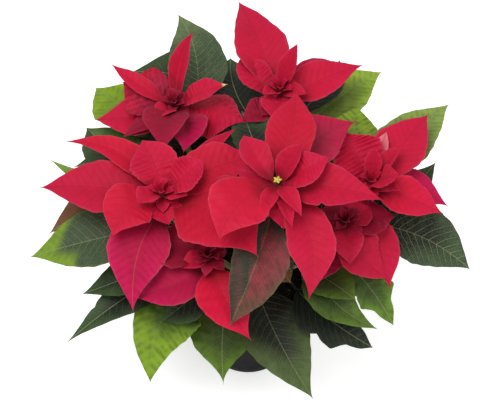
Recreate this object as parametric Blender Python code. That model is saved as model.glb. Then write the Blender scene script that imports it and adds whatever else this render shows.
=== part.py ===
"""A poinsettia in its nursery pot: seven leafy shoots fork from one short trunk.

Each shoot carries a head of red bracts, and the tallest has small yellow-green buds.

Metres, +Z up, with the pot's base at the origin. Tables are in millimetres. The viewer stands at -Y.
"""

import math

import bmesh
import bpy
import numpy as np
from mathutils.bvhtree import BVHTree

MM = 0.001
# Clear space between two pieces that touch on the real plant.
GAP = 0.4 * MM

# Pot: a tapered wall with a rim band and holes in its floor.
POT_HEIGHT = 103 * MM
POT_BASE_RADIUS = 44 * MM
POT_TOP_RADIUS = 58 * MM
POT_WALL = 1.3 * MM
POT_FLOOR = 1.8 * MM
FOOT_BEVEL = 1.5 * MM
RIM_RADIUS = 60.5 * MM
RIM_HEIGHT = 9 * MM
RIM_LIP = 1.0 * MM
RIM_STEP = 0.6 * MM
DRAIN_COUNT = 6
DRAIN_RADIUS = 4.5 * MM
DRAIN_CIRCLE = 31 * MM
DRAIN_TURN = math.radians(33.4)
DRAIN_SIDES = 12
POT_SIDES = 48

# Soil and the trunk that stands in a plain hole in it.
SOIL_TOP = 92 * MM
SOIL_CRUMB = 1.6 * MM
SOIL_EDGE = 3 * MM
SOIL_RINGS = (15 * MM, 24 * MM, 33 * MM, 42 * MM)
SOIL_SIDES = 32
TRUNK_RADIUS = 6.5 * MM
TRUNK_HOLE = 7.7 * MM
TRUNK_FOOT = 50 * MM
TRUNK_TOP = 126 * MM
TRUNK_SIDES = 14
TRUNK_LEVELS = 9
KNOB = 0.25 * MM

# Each head: where its flower buds sit, and the compass angle at which its shoot leaves the trunk.
HEADS = {
    "a": (26, -9, 280, None),
    "b": (-79, 6, 242, 175),
    "c": (31, 124, 248, 68),
    "d": (-71, 117, 235, 118),
    "e": (115, 26, 232, 18),
    "f": (90, -7, 215, -32),
    "g": (-36, -42, 210, -128),
}
# Shoots and hubs. Their ends point up by this many times the rise of a head over the trunk.
UPRIGHT = 2.6
HUB_LENGTH = 24 * MM
HUB_RADIUS = 2.6 * MM
HUB_STATIONS = 4
STEM_RADIUS = 3.0 * MM
STEM_SIDES = 8
STEM_STATIONS = 12
# A shoot leaves the trunk's side this far under its top, climbing this much for each unit outwards.
FORK_DROP = 6 * MM
FORK_CLIMB = 0.9
# How far the shoot keeps its first and its last direction, as shares of its length.
LEAVE_SHARE = 0.38
ARRIVE_SHARE = 0.36
# How far the shoot's slanting end face reaches back towards the trunk, as a share of its radius.
SLANT = 0.60

# Blades: name, head, tip x, y, z, width, widest, arch, bow, roll, fold, root, kind.
# Widest is the share of the blade at which it is widest. Arch lifts the middle and bow moves it to
# the right of its run, both as a share of the length. Roll leans the upper face to the right, and
# fold raises the edges, both in degrees. Root is millimetres below the buds for a bract, and a
# share of the shoot's length for a leaf.
BRACTS = (
    ("a1", "a", 44, 83, 295, 47, 0.44, 0.08, 0.04, 0, 14, 8, "bract"),
    ("a2", "a", 49, 14, 306, 26, 0.46, 0.08, 0, 0, 34, 9, "small"),
    ("a3", "a", 71, 3, 300, 36, 0.48, 0.10, 0.06, 6, 16, 8, "small"),
    ("a4", "a", 120, -24, 272, 44, 0.36, 0.11, 0, 12, 14, 10, "bract"),
    ("a5", "a", 47, -51, 285, 18, 0.42, 0.14, 0, 0, 26, 7, "small"),
    ("a6", "a", 12, -48, 278, 17, 0.42, 0.12, 0, 0, 24, 7, "small"),
    ("a7", "a", 39, -54, 272, 17, 0.42, 0.10, 0, 0, 34, 7, "small"),
    ("a8", "a", 53, -104, 235, 45, 0.52, 0.08, -0.15, 0, 12, 15, "bract"),
    ("a9", "a", -25, -71, 278, 57, 0.50, 0.12, 0.10, -6, 8, 9, "bract"),
    ("a10", "a", -4, 40, 284, 30, 0.50, 0.10, -0.06, 0, 24, 6, "small"),
    ("a11", "a", -11, 8, 272, 34, 0.46, 0.10, 0.04, -6, 12, 12, "bract"),
    ("a12", "a", 101, 77, 258, 54, 0.48, 0.08, -0.08, 8, 12, 19, "bract"),
    ("a13", "a", 14, -35, 258, 24, 0.46, 0.10, 0, 0, 18, 11, "small"),
    ("a14", "a", 32, -45, 258, 28, 0.52, 0.10, 0, 0, 20, 12, "small"),
    ("b1", "b", -193, 25, 225, 53, 0.46, 0.08, 0.00, -12, 12, 12, "bract"),
    ("b2", "b", -121, -38, 235, 52, 0.50, 0.10, 0.16, -4, 12, 8, "bract"),
    ("b3", "b", -172, 63, 245, 30, 0.36, 0.08, 0.13, -10, 24, 8, "bract"),
    ("b3u", "b", -97, 52, 262, 46, 0.50, 0.06, 0.04, -6, 14, 5, "small"),
    ("b4", "b", -99, -14, 254, 24, 0.62, 0.14, 0, 0, 26, 3, "small"),
    ("b5", "b", -40, 26, 266, 40, 0.56, 0.08, 0.04, -6, 10, 4, "small"),
    ("b6", "b", 9, -66, 246, 80, 0.44, 0.08, -0.08, 6, 8, 10, "bract"),
    ("b7", "b", -104, -83, 180, 60, 0.42, 0.10, 0.10, 0, 10, 20, "bract"),
    ("b8", "b", 9, 40, 250, 50, 0.50, 0.10, -0.04, 8, 12, 10, "bract"),
    ("b9", "b", -11, 79, 245, 20, 0.46, 0.10, 0, 0, 30, 16, "small"),
    ("b11", "b", -66, 12, 246, 20, 0.50, 0.12, 0, 0, 24, 6, "small"),
    ("b12", "b", -54, -4, 252, 22, 0.56, 0.12, 0, 0, 22, 5, "small"),
    ("b13", "b", -71, -22, 232, 34, 0.46, 0.08, 0.06, 0, 16, 7, "small"),
    ("c1", "c", -10, 243, 245, 52, 0.35, 0.10, 0.00, 0, 12, 12, "bract"),
    ("c2", "c", 112, 158, 245, 42, 0.34, 0.08, 0.02, 12, 14, 12, "bract"),
    ("c2b", "c", 102, 163, 235, 36, 0.46, 0.08, -0.09, 12, 14, 18, "bract"),
    ("c3", "c", 47, 150, 285, 22, 0.44, 0.06, 0, 0, 32, 4, "small"),
    ("c5", "c", -7, 166, 248, 34, 0.46, 0.08, -0.10, -8, 22, 8, "small"),
    ("c6", "c", 25, 89, 245, 34, 0.46, 0.12, 0, 0, 18, 8, "small"),
    ("c7", "c", -6, 101, 228, 28, 0.46, 0.08, 0, -10, 20, 16, "small"),
    ("c8", "c", 56, 112, 256, 18, 0.44, 0.12, 0, 10, 24, 5, "small"),
    ("c12", "c", 13, 100, 238, 26, 0.46, 0.10, 0, -4, 18, 12, "small"),
    ("c13", "c", 13, 110, 258, 16, 0.44, 0.12, 0, 0, 24, 4, "small"),
    ("d1", "d", -132, 152, 254, 19, 0.46, 0.06, -0.06, -10, 20, 3, "bract"),
    ("d2", "d", -121, 140, 240, 56, 0.52, 0.08, -0.02, -10, 6, 7, "bract"),
    ("d3", "d", -53, 198, 250, 24, 0.40, 0.08, -0.05, 0, 40, 5, "bract"),
    ("d4", "d", -148, 114, 215, 44, 0.44, 0.10, -0.06, -10, 12, 16, "bract"),
    ("d5", "d", -119, 84, 225, 22, 0.44, 0.10, 0, 0, 22, 12, "small"),
    ("d6", "d", -19, 119, 262, 28, 0.48, 0.10, 0.02, 0, 18, 4, "bract"),
    ("d7", "d", -2, 96, 232, 60, 0.50, 0.12, -0.07, 0, -20, 10, "bract"),
    ("d8", "d", -77, 47, 250, 46, 0.42, 0.14, 0.05, 0, 20, 5, "bract"),
    ("d9", "d", -60, 54, 240, 44, 0.44, 0.12, -0.10, 0, 18, 13, "bract"),
    ("d10", "d", -88, 88, 248, 22, 0.46, 0.12, 0, 0, 26, 6, "small"),
    ("e1", "e", 90, 68, 254, 54, 0.50, 0.08, 0.00, 0, 18, 8, "bract"),
    ("e2", "e", 172, 105, 235, 50, 0.44, 0.08, 0.02, 6, 10, 14, "bract"),
    ("e3", "e", 181, 6, 210, 41, 0.46, 0.12, 0.03, 10, 14, 10, "bract"),
    ("e4", "e", 189, 25, 195, 45, 0.46, 0.10, -0.09, 8, 12, 19, "bract"),
    ("e5", "e", 140, 10, 240, 18, 0.44, 0.10, 0, 0, 26, 6, "small"),
    ("e6", "e", 141, 54, 250, 19, 0.44, 0.10, 0, 0, 34, 4, "small"),
    ("e7", "e", 116, 44, 262, 18, 0.50, 0.10, 0, 0, 26, 3, "small"),
    ("e9", "e", 84, 70, 220, 40, 0.46, 0.08, 0, -6, 14, 16, "bract"),
    ("e11", "e", 137, 18, 256, 28, 0.54, 0.14, 0.10, 0, 14, 3, "small"),
    ("e12", "e", 130, 77, 243, 14, 0.60, 0.10, 0, 0, 10, 7, "small"),
    ("f1", "f", 130, -44, 175, 50, 0.46, 0.10, 0.12, -6, 12, 10, "bract"),
    ("f2", "f", 132, -48, 165, 48, 0.46, 0.12, -0.20, 6, 12, 17, "bract"),
    ("f3", "f", 60, -54, 175, 42, 0.46, 0.10, 0, 0, 16, 12, "bract"),
    ("f6", "f", 66, 13, 206, 34, 0.46, 0.10, 0, 0, 18, 8, "small"),
    ("f7", "f", 115, 12, 210, 34, 0.46, 0.10, 0, 0, 18, 8, "small"),
    ("f8", "f", 138, 8, 203, 42, 0.46, 0.10, 0, 0, 12, 12, "bract"),
    ("f10", "f", 93, -48, 206, 32, 0.46, 0.12, 0.00, 0, 18, 6, "small"),
    ("g1", "g", 3, -106, 170, 52, 0.42, 0.10, 0.08, 0, 12, 12, "bract"),
    ("g2", "g", -105, -64, 175, 46, 0.44, 0.10, -0.12, -8, 12, 16, "bract"),
    ("g3", "g", -61, -51, 205, 22, 0.44, 0.10, 0, 0, 26, 5, "small"),
    ("g5", "g", -86, -14, 196, 62, 0.46, 0.08, 0, 0, 12, 8, "bract"),
)
LEAVES = (
    ("l1", "b", -204, -19, 175, 60, 0.40, 0.08, -0.03, -10, 10, 0.80, "leaf"),
    ("l2", "b", -189, 11, 170, 50, 0.50, 0.08, 0.20, -6, 12, 0.66, "leaf"),
    ("l3", "b", -194, 93, 180, 16, 0.42, 0.02, -0.05, -6, 18, 0.92, "leaf"),
    ("l4", "b", -170, 84, 182, 60, 0.46, 0.08, 0.26, 0, 14, 0.74, "leaf"),
    ("l5", "b", -160, 129, 185, 58, 0.60, 0.08, -0.02, 0, 14, 0.62, "leaf"),
    ("l6", "d", -153, 175, 190, 63, 0.54, 0.08, -0.05, 0, 8, 0.80, "leaf"),
    ("l7", "d", -118, 190, 195, 68, 0.48, 0.08, 0.34, 0, 12, 0.90, "leaf"),
    ("l8", "d", -72, 256, 210, 60, 0.34, 0.06, 0.10, 0, 10, 0.86, "leaf"),
    ("l9", "c", -18, 214, 195, 66, 0.50, 0.08, -0.11, 0, 12, 0.76, "leaf"),
    ("l10", "c", 94, 213, 190, 38, 0.44, 0.08, 0.08, 0, 12, 0.84, "leaf"),
    ("l11", "c", 135, 191, 200, 57, 0.44, 0.08, -0.02, 8, 12, 0.66, "leaf"),
    ("l12", "e", 106, 140, 200, 50, 0.50, 0.08, 0.00, 0, 12, 0.80, "leaf"),
    ("l13", "e", 199, 146, 200, 56, 0.30, 0.08, -0.01, 0, 10, 0.90, "leaf"),
    ("l14", "e", 185, 97, 170, 36, 0.44, 0.02, 0.10, 0, 12, 0.70, "leaf"),
    ("l15", "e", 211, -16, 150, 64, 0.50, 0.10, -0.09, 8, 10, 0.60, "leaf"),
    ("l16", "f", 137, -66, 130, 42, 0.42, 0.08, -0.05, 6, 10, 0.80, "lobed"),
    ("l17", "f", 121, -73, 135, 46, 0.32, 0.10, 0.20, 0, 10, 0.66, "short"),
    ("l18", "f", 118, -79, 110, 58, 0.42, 0.10, 0.11, 0, 12, 0.30, "lobed"),
    ("l19", "a", 61, -127, 100, 66, 0.40, 0.10, 0.07, 0, 10, 0.12, "leaf"),
    ("l20", "g", -23, -110, 95, 62, 0.44, 0.10, 0.05, 0, 10, 0.22, "pointed"),
    ("l21", "g", -81, -68, 140, 48, 0.44, 0.10, -0.08, 0, 12, 0.80, "leaf"),
    ("l22", "g", -91, -118, 115, 76, 0.24, 0.08, 0.20, 0, 10, 0.50, "leaf"),
    ("l23", "b", -156, -44, 150, 44, 0.40, 0.08, -0.08, -6, 12, 0.50, "leaf"),
    ("l24", "b", -173, -81, 118, 42, 0.32, 0.10, 0.00, -6, 12, 0.30, "leaf"),
    ("l25", "a", -16, -100, 186, 60, 0.44, 0.06, -0.04, 0, 12, 0.97, "short"),
    ("l27", "a", 40, -41, 165, 36, 0.56, 0.06, 0.05, 0, 12, 0.50, "leaf"),
    ("l28", "a", -6, 126, 214, 40, 0.52, 0.08, 0, 0, 14, 0.86, "leaf"),
    ("l29", "d", -25, 105, 185, 24, 0.46, 0.08, 0, 0, 14, 0.50, "leaf"),
    ("l30", "c", 70, 225, 140, 46, 0.44, 0.10, 0, 0, 12, 0.50, "leaf"),
    ("l31", "c", 5, 205, 130, 42, 0.44, 0.10, 0, 0, 12, 0.36, "leaf"),
    ("l32", "d", -75, 205, 135, 46, 0.44, 0.10, 0, 0, 12, 0.52, "leaf"),
    ("l33", "d", -135, 135, 130, 42, 0.44, 0.10, 0, 0, 12, 0.36, "leaf"),
    ("l34", "e", 155, 60, 125, 42, 0.44, 0.10, 0, 0, 12, 0.40, "leaf"),
    ("l35", "e", 95, 130, 130, 40, 0.44, 0.10, 0, 0, 12, 0.28, "leaf"),
    ("l36", "b", -135, 70, 120, 40, 0.44, 0.10, 0, 0, 12, 0.28, "leaf"),
    ("n1", "b", -52, -2, 205, 56, 0.50, 0.08, 0, 0, 12, 0.74, "short"),
    ("n2", "a", -35, 74, 205, 50, 0.50, 0.08, 0, 0, 12, 0.45, "short"),
    ("n3", "a", 84, -18, 185, 52, 0.50, 0.08, 0, 0, 12, 0.42, "short"),
    ("n4", "e", 86, 82, 200, 46, 0.50, 0.08, 0, 0, 12, 0.50, "short"),
    ("n5", "d", -101, 92, 195, 44, 0.50, 0.08, 0, 0, 12, 0.62, "short"),
    ("n6", "c", -26, 116, 200, 44, 0.50, 0.08, 0, 0, 12, 0.66, "short"),
    ("n8", "d", -21, 137, 195, 56, 0.46, 0.08, 0, 0, 12, 0.62, "short"),
    ("n9", "e", 125, 48, 190, 42, 0.50, 0.08, 0, 0, 12, 0.62, "short"),
    ("n10", "d", -96, 128, 200, 40, 0.56, 0.06, 0, 0, 12, 0.80, "short"),
    ("n11", "d", -6, 165, 200, 46, 0.50, 0.08, 0, 0, 12, 0.84, "short"),
    ("n13", "a", 40, -45, 190, 40, 0.50, 0.08, 0, 0, 12, 0.60, "short"),
    ("n14", "a", 40, 40, 246, 36, 0.50, 0.08, 0, 0, 12, 0.90, "short"),
    ("n17", "f", 100, -60, 165, 46, 0.50, 0.08, 0, 0, 12, 0.46, "short"),
)

# A stalk longer than this share of its blade has one more station, this far along it.
LONG_STALK = 0.1
STALK_MIDDLE = 0.6
# Each kind of blade: share of the length that is stalk, how full it is at its foot (less is fuller),
# how it narrows to the tip (more is a finer point), waves, stations.
KINDS = {
    "bract": {"stalk": 0.08, "foot": 0.80, "narrow": 1.60, "wave": 0.05, "steps": (0.18, 0.4, 0.64, 0.86)},
    "small": {"stalk": 0.08, "foot": 0.85, "narrow": 1.30, "wave": 0.05, "steps": (0.22, 0.5, 0.8)},
    "leaf": {"stalk": 0.26, "foot": 0.62, "narrow": 1.40, "wave": 0.04, "steps": (0.16, 0.38, 0.64, 0.86)},
    "pointed": {
        "stalk": 0.26,
        "foot": 0.50,
        "narrow": 2.00,
        "wave": 0.04,
        "steps": (0.14, 0.32, 0.54, 0.76, 0.9),
    },
    "short": {"stalk": 0.14, "foot": 0.70, "narrow": 1.30, "wave": 0.04, "steps": (0.22, 0.5, 0.78)},
    "lobed": {
        "stalk": 0.24,
        "foot": 0.75,
        "narrow": 1.15,
        "wave": 0.04,
        "steps": (0.16, 0.34, 0.46, 0.62, 0.74, 0.9),
    },
}
# Width factors that give a lobed leaf its points, one for each step above.
LOBES = (1.0, 1.16, 0.80, 1.18, 0.74, 1.0)
WAVES_PER_BLADE = 2.5
# Roll and fold grow to their full angle over this share of the length.
TURN_SHARE = 0.3
BLADE_THICKNESS = 0.7 * MM
STALK_THICKNESS = 1.9 * MM
STALK_HALF_WIDTH = 1.1 * MM
TIP_HALF_WIDTH = 0.5 * MM

# Bending blades clear of one another.
CLEARANCE = 0.5 * MM
BEND_STEP = 0.5 * MM
BEND_ROUNDS = 160
LEAST_SHARE = 0.05
POINTS_PER_STATION = 6
FACES_PER_STATION = 12

# Flower buds: one in the middle and a ring round it, on a short base.
BUD_RADIUS = 2.0 * MM
BUD_RING = 5
BUD_RING_RADIUS = 3.0 * MM
BUD_BASE_RADIUS = 2.2 * MM
BUD_BASE_HEIGHT = 2.4 * MM
BUD_HEIGHT = 3.6 * MM
MIDDLE_BUD_LIFT = 0.8 * MM
RING_BUD_RADIUS = 1.84 * MM
BUD_STRETCH = 1.3
BUD_HEADS = ("a",)


def unit(vector):
    return vector / np.linalg.norm(vector)


def clear_scene():
    for item in list(bpy.data.objects):
        bpy.data.objects.remove(item, do_unlink=True)


def material(name, colour, roughness):
    made = bpy.data.materials.new(name)
    made.use_nodes = True
    shader = made.node_tree.nodes["Principled BSDF"]
    shader.inputs["Base Color"].default_value = (*colour, 1)
    shader.inputs["Roughness"].default_value = roughness
    shader.inputs["Metallic"].default_value = 0
    return made


def add_object(name, points, faces, surface):
    mesh = bpy.data.meshes.new(name)
    mesh.from_pydata([tuple(point) for point in points], [], [tuple(face) for face in faces])
    mesh.update()
    made = bpy.data.objects.new(name, mesh)
    made.data.materials.append(surface)
    bpy.context.scene.collection.objects.link(made)
    return made


def revolved(profile, sides, radius_change=None):
    """Points and faces of a solid of revolution. The profile runs from axis to axis, outside first."""
    points = [(0, 0, profile[0][1])]
    for step, (radius, height) in enumerate(profile[1:-1]):
        for side in range(sides):
            angle = 2 * math.pi * side / sides
            change = radius_change(step, side) if radius_change else (0, 0)
            reach = radius + change[0]
            points.append((reach * math.cos(angle), reach * math.sin(angle), height + change[1]))
    points.append((0, 0, profile[-1][1]))
    last = len(points) - 1
    rings = len(profile) - 2
    faces = []
    for side in range(sides):
        following = (side + 1) % sides
        faces.append((0, 1 + following, 1 + side))
        for ring in range(rings - 1):
            low = 1 + ring * sides
            high = low + sides
            faces.append((low + side, low + following, high + following, high + side))
        top = 1 + (rings - 1) * sides
        faces.append((last, top + side, top + following))
    return points, faces


def inner_radius(height):
    """The pot's inside radius at a height."""
    share = height / POT_HEIGHT
    return POT_BASE_RADIUS + (POT_TOP_RADIUS - POT_BASE_RADIUS) * share - POT_WALL


def make_pot(surface):
    """The nursery pot, with its drain holes cut off-centre so that the middle of the base is solid."""
    slope = (POT_TOP_RADIUS - POT_BASE_RADIUS) / POT_HEIGHT
    rim_foot = POT_HEIGHT - RIM_HEIGHT
    profile = [
        (0, 0),
        (POT_BASE_RADIUS - FOOT_BEVEL, 0),
        (POT_BASE_RADIUS, FOOT_BEVEL),
        (POT_BASE_RADIUS + slope * rim_foot, rim_foot),
        (RIM_RADIUS - RIM_STEP, rim_foot + RIM_STEP),
        (RIM_RADIUS, POT_HEIGHT - RIM_LIP),
        (RIM_RADIUS - RIM_LIP, POT_HEIGHT),
        (inner_radius(POT_HEIGHT), POT_HEIGHT),
        (inner_radius(POT_FLOOR), POT_FLOOR),
        (0, POT_FLOOR),
    ]
    points, faces = revolved(profile, POT_SIDES)
    pot = add_object("pot", points, faces, surface)
    for index in range(DRAIN_COUNT):
        angle = 2 * math.pi * index / DRAIN_COUNT + DRAIN_TURN
        place = (DRAIN_CIRCLE * math.cos(angle), DRAIN_CIRCLE * math.sin(angle), 0)
        bpy.ops.mesh.primitive_cylinder_add(
            vertices=DRAIN_SIDES, radius=DRAIN_RADIUS, depth=4 * POT_FLOOR, location=place
        )
        cutter = bpy.context.object
        cutter.name = f"drain_cutter_{index}"
        cut = pot.modifiers.new("drain", "BOOLEAN")
        cut.operation = "DIFFERENCE"
        cut.object = cutter
        cutter.hide_render = True
        cutter.display_type = "WIRE"
    return pot


def make_soil(surface):
    """Soil that fills the pot, crumbly on top, with a plain hole for the trunk."""
    rng = np.random.default_rng(7)
    floor = POT_FLOOR + GAP
    edge = SOIL_TOP - SOIL_EDGE
    top_radii = (TRUNK_HOLE, *SOIL_RINGS, inner_radius(edge) - 3 * GAP)
    profile = [(0, floor), (inner_radius(floor) - GAP, floor)]
    profile += [(inner_radius(edge) - GAP, edge)]
    profile += [(radius, SOIL_TOP) for radius in reversed(top_radii)]
    profile += [(TRUNK_HOLE, TRUNK_FOOT - GAP), (0, TRUNK_FOOT - GAP)]
    first_top = 2
    last_top = first_top + len(top_radii) - 2

    def crumbs(step, side):
        if first_top <= step <= last_top:
            return (0, rng.uniform(-SOIL_CRUMB, SOIL_CRUMB))
        return (0, 0)

    points, faces = revolved(profile, SOIL_SIDES, crumbs)
    return add_object("soil", points, faces, surface)


def make_trunk(surface):
    """The short main stem, cut off above the soil, a little uneven."""
    rng = np.random.default_rng(3)
    levels = np.linspace(TRUNK_FOOT, TRUNK_TOP, TRUNK_LEVELS)
    profile = [(0, levels[0])]
    profile += [(TRUNK_RADIUS, level) for level in levels]
    profile += [(0, levels[-1])]

    def knobs(step, side):
        return (rng.uniform(-KNOB, 0), 0)

    points, faces = revolved(profile, TRUNK_SIDES, knobs)
    return add_object("trunk", points, faces, surface)


def head_top(head):
    return np.array(HEADS[head][:3]) * MM


def head_axis(head):
    """The way that a shoot's end and its hub point: up, leaning outwards a little."""
    top = head_top(head)
    return unit(np.array([top[0], top[1], UPRIGHT * (top[2] - TRUNK_TOP)]))


def stem_path(head):
    """Points along a shoot, from just off the trunk to its hub's foot."""
    end = head_top(head) - head_axis(head) * (HUB_LENGTH + GAP)
    angle = HEADS[head][3]
    if angle is None:
        start = np.array([0, 0, TRUNK_TOP + GAP])
        leave = np.array([0.0, 0.0, 1.0])
    else:
        outward = np.array([math.cos(math.radians(angle)), math.sin(math.radians(angle)), 0])
        reach = TRUNK_RADIUS + GAP + SLANT * STEM_RADIUS
        start = outward * reach + np.array([0, 0, TRUNK_TOP - FORK_DROP])
        leave = unit(outward + np.array([0, 0, FORK_CLIMB]))
    length = np.linalg.norm(end - start)
    first = start + leave * length * LEAVE_SHARE
    second = end - head_axis(head) * length * ARRIVE_SHARE
    share = np.linspace(0, 1, STEM_STATIONS)[:, None]
    rest = 1 - share
    return rest**3 * start + 3 * rest**2 * share * first + 3 * rest * share**2 * second + share**3 * end


def point_on(path, share):
    place = share * (len(path) - 1)
    low = min(int(place), len(path) - 2)
    return path[low] + (path[low + 1] - path[low]) * (place - low)


def tube(path, radii, sides):
    """Points and triangles of a round closed tube along a path."""
    points = []
    side = np.array([1.0, 0, 0])
    for index, centre in enumerate(path):
        ahead = unit(path[min(index + 1, len(path) - 1)] - path[max(index - 1, 0)])
        side = unit(side - ahead * (side @ ahead))
        other = np.cross(ahead, side)
        for step in range(sides):
            angle = 2 * math.pi * step / sides
            points.append(centre + radii[index] * (side * math.cos(angle) + other * math.sin(angle)))
    faces = []
    for ring in range(len(path) - 1):
        low = ring * sides
        for step in range(sides):
            following = (step + 1) % sides
            faces.append((low + step, low + following, low + sides + following))
            faces.append((low + step, low + sides + following, low + sides + step))
    for step in range(1, sides - 1):
        faces.append((0, step + 1, step))
        top = (len(path) - 1) * sides
        faces.append((top, top + step, top + step + 1))
    return np.array(points), faces


def blade_outline(shape, widest, along):
    """A blade's width as a share of its greatest, at shares of its length without the stalk."""
    foot = np.sin(math.pi / 2 * np.clip(along / widest, 0, 1)) ** shape["foot"]
    beyond = np.clip((along - widest) / (1 - widest), 0, 1)
    return foot * (1 - beyond) ** shape["narrow"] * (1 + shape["narrow"] * beyond)


class Blade:
    """One bract or leaf: its row of the table, its stations along the length, and how far each is bent."""

    def __init__(self, row, paths):
        self.name, self.head, *tip, width, self.widest, self.arch, self.bow, roll, fold, root, self.kind = row
        self.tip = np.array(tip) * MM
        self.half_width = width * MM / 2
        self.roll = math.radians(roll)
        self.fold = math.radians(fold)
        if self.kind in ("bract", "small"):
            self.node = f"bracts_{self.head}"
            self.root = head_top(self.head) - head_axis(self.head) * root * MM
        else:
            self.node = f"leafy_stem_{self.head}"
            self.root = point_on(paths[self.head], root)
        shape = KINDS[self.kind]
        stalk = shape["stalk"]
        steps = [stalk + (1 - stalk) * step for step in shape["steps"]]
        foot = (0, stalk) if stalk < LONG_STALK else (0, STALK_MIDDLE * stalk, stalk)
        self.stalk_stations = len(foot)
        self.shares = np.array([*foot, *steps, 1.0])
        self.bend = np.zeros((len(self.shares), 3))
        self.faces = blade_faces(len(self.shares))
        self.phase = sum(map(ord, self.name)) % 7

    def half_widths(self):
        """Half the blade's width at each station."""
        shape = KINDS[self.kind]
        along = np.clip((self.shares - shape["stalk"]) / (1 - shape["stalk"]), 0, 1)
        half = self.half_width * blade_outline(shape, self.widest, along)
        if self.kind == "lobed":
            half[self.stalk_stations:-1] *= LOBES
        half[: self.stalk_stations] = STALK_HALF_WIDTH
        half[-1] = TIP_HALF_WIDTH
        return half

    def centres(self):
        """The midrib's point at each station, bend and all."""
        chord = self.tip - self.root
        length = np.linalg.norm(chord)
        right = unit(np.cross(chord, (0, 0, 1)))
        swell = (4 * self.shares * (1 - self.shares) * length)[:, None]
        rise = self.arch * np.array([0, 0, 1]) + self.bow * right
        return self.root + chord * self.shares[:, None] + swell * rise + self.bend

    def points(self, margin=0.0):
        """Six points a station: left edge, rib and right edge of the upper face, then of the lower."""
        centres = self.centres()
        ahead = np.gradient(centres, axis=0)
        ahead /= np.linalg.norm(ahead, axis=1)[:, None]
        up = np.array([0, 0, 1]) - ahead * ahead[:, 2:3]
        up /= np.linalg.norm(up, axis=1)[:, None]
        side = np.cross(ahead, up)
        grown = np.minimum(self.shares / TURN_SHARE, 1)
        turn = (self.roll * grown)[:, None]
        normal = up * np.cos(turn) + side * np.sin(turn)
        side = side * np.cos(turn) - up * np.sin(turn)
        half = self.half_widths()
        fold = self.fold * grown
        blade_start = self.shares[self.stalk_stations - 1 : self.stalk_stations + 1]
        thick = np.interp(self.shares, blade_start, [STALK_THICKNESS, BLADE_THICKNESS])
        thick = (thick / 2 / np.cos(fold) + margin)[:, None]
        swing = np.sin(2 * math.pi * WAVES_PER_BLADE * self.shares + self.phase)
        wave = KINDS[self.kind]["wave"] * half * swing
        rows = []
        for face in (1, -1):
            for edge in (-1, 0, 1):
                out = edge * (half * np.cos(fold) + margin)
                lift = abs(edge) * half * np.sin(fold) + edge * wave
                rows.append(centres + side * out[:, None] + normal * (lift[:, None] + face * thick))
        return np.stack(rows, 1).reshape(-1, 3)


def blade_faces(stations):
    """Triangles station by station, split alike on both faces, then the two end caps."""
    faces = []
    for station in range(stations - 1):
        a = station * POINTS_PER_STATION
        b = a + POINTS_PER_STATION
        for left in (0, 1):
            faces.append((a + left, a + left + 1, b + left + 1))
            faces.append((a + left, b + left + 1, b + left))
            faces.append((a + left + 3, b + left + 4, a + left + 4))
            faces.append((a + left + 3, b + left + 3, b + left + 4))
        faces.append((a, b, b + 3))
        faces.append((a, b + 3, a + 3))
        faces.append((a + 2, b + 5, b + 2))
        faces.append((a + 2, a + 5, b + 5))
    for base, turned in ((0, False), ((stations - 1) * POINTS_PER_STATION, True)):
        cap = [(0, 3, 4), (0, 4, 1), (1, 4, 5), (1, 5, 2)]
        for face in cap:
            face = tuple(base + corner for corner in face)
            faces.append(face[::-1] if turned else face)
    return faces


def tree_of(points, faces):
    return BVHTree.FromPolygons(points.tolist(), faces, all_triangles=True)


def stations_hit(blade, hits):
    """The share of the length at which each hit face lies."""
    last = len(blade.shares) - 2
    stations = np.minimum(np.array(hits) // FACES_PER_STATION, last)
    return (blade.shares[stations] + blade.shares[stations + 1]) / 2


def push(blade, where, move):
    """Bends a blade so that its point at this share of its length moves, and all beyond it too."""
    reach = np.minimum(blade.shares / max(where, LEAST_SHARE), 1)[:, None]
    blade.bend += reach * move


def normal_at(blade, where):
    """The upper face's normal at a share of the blade's length."""
    points = blade.points().reshape(-1, POINTS_PER_STATION, 3)
    station = int(np.argmin(abs(blade.shares - where)))
    across = points[station, 2] - points[station, 0]
    ahead = points[min(station + 1, len(points) - 1), 1] - points[max(station - 1, 0), 1]
    return unit(np.cross(across, ahead))


def centre_at(blade, where):
    centres = blade.centres()
    return np.array([np.interp(where, blade.shares, centres[:, axis]) for axis in range(3)])


def clear_crossings(blades, fixed):
    """Bends blades of different nodes apart, a little each round, until no two of them meet."""
    settled = {}
    for _ in range(BEND_ROUNDS):
        shells = [blade.points(CLEARANCE) for blade in blades]
        trees = [tree_of(shell, blade.faces) for shell, blade in zip(shells, blades)]
        lows = np.array([shell.min(0) for shell in shells])
        highs = np.array([shell.max(0) for shell in shells])
        meeting = []
        for first, blade in enumerate(blades):
            near = (lows[first] < highs).all(1) & (lows < highs[first]).all(1)
            for second in np.flatnonzero(near[first + 1 :]) + first + 1:
                if blades[second].node == blade.node:
                    continue
                hits = trees[first].overlap(trees[second])
                if hits:
                    meeting.append((blade.name, blades[second].name))
                    separate(blade, blades[second], hits, settled)
            for node, path, tree in fixed:
                if node == blade.node:
                    continue
                hits = trees[first].overlap(tree)
                if hits:
                    meeting.append((blade.name, node))
                    slide_off(blade, path, hits)
        if not meeting:
            return
    raise RuntimeError(f"blades still meet: {meeting}")


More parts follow.
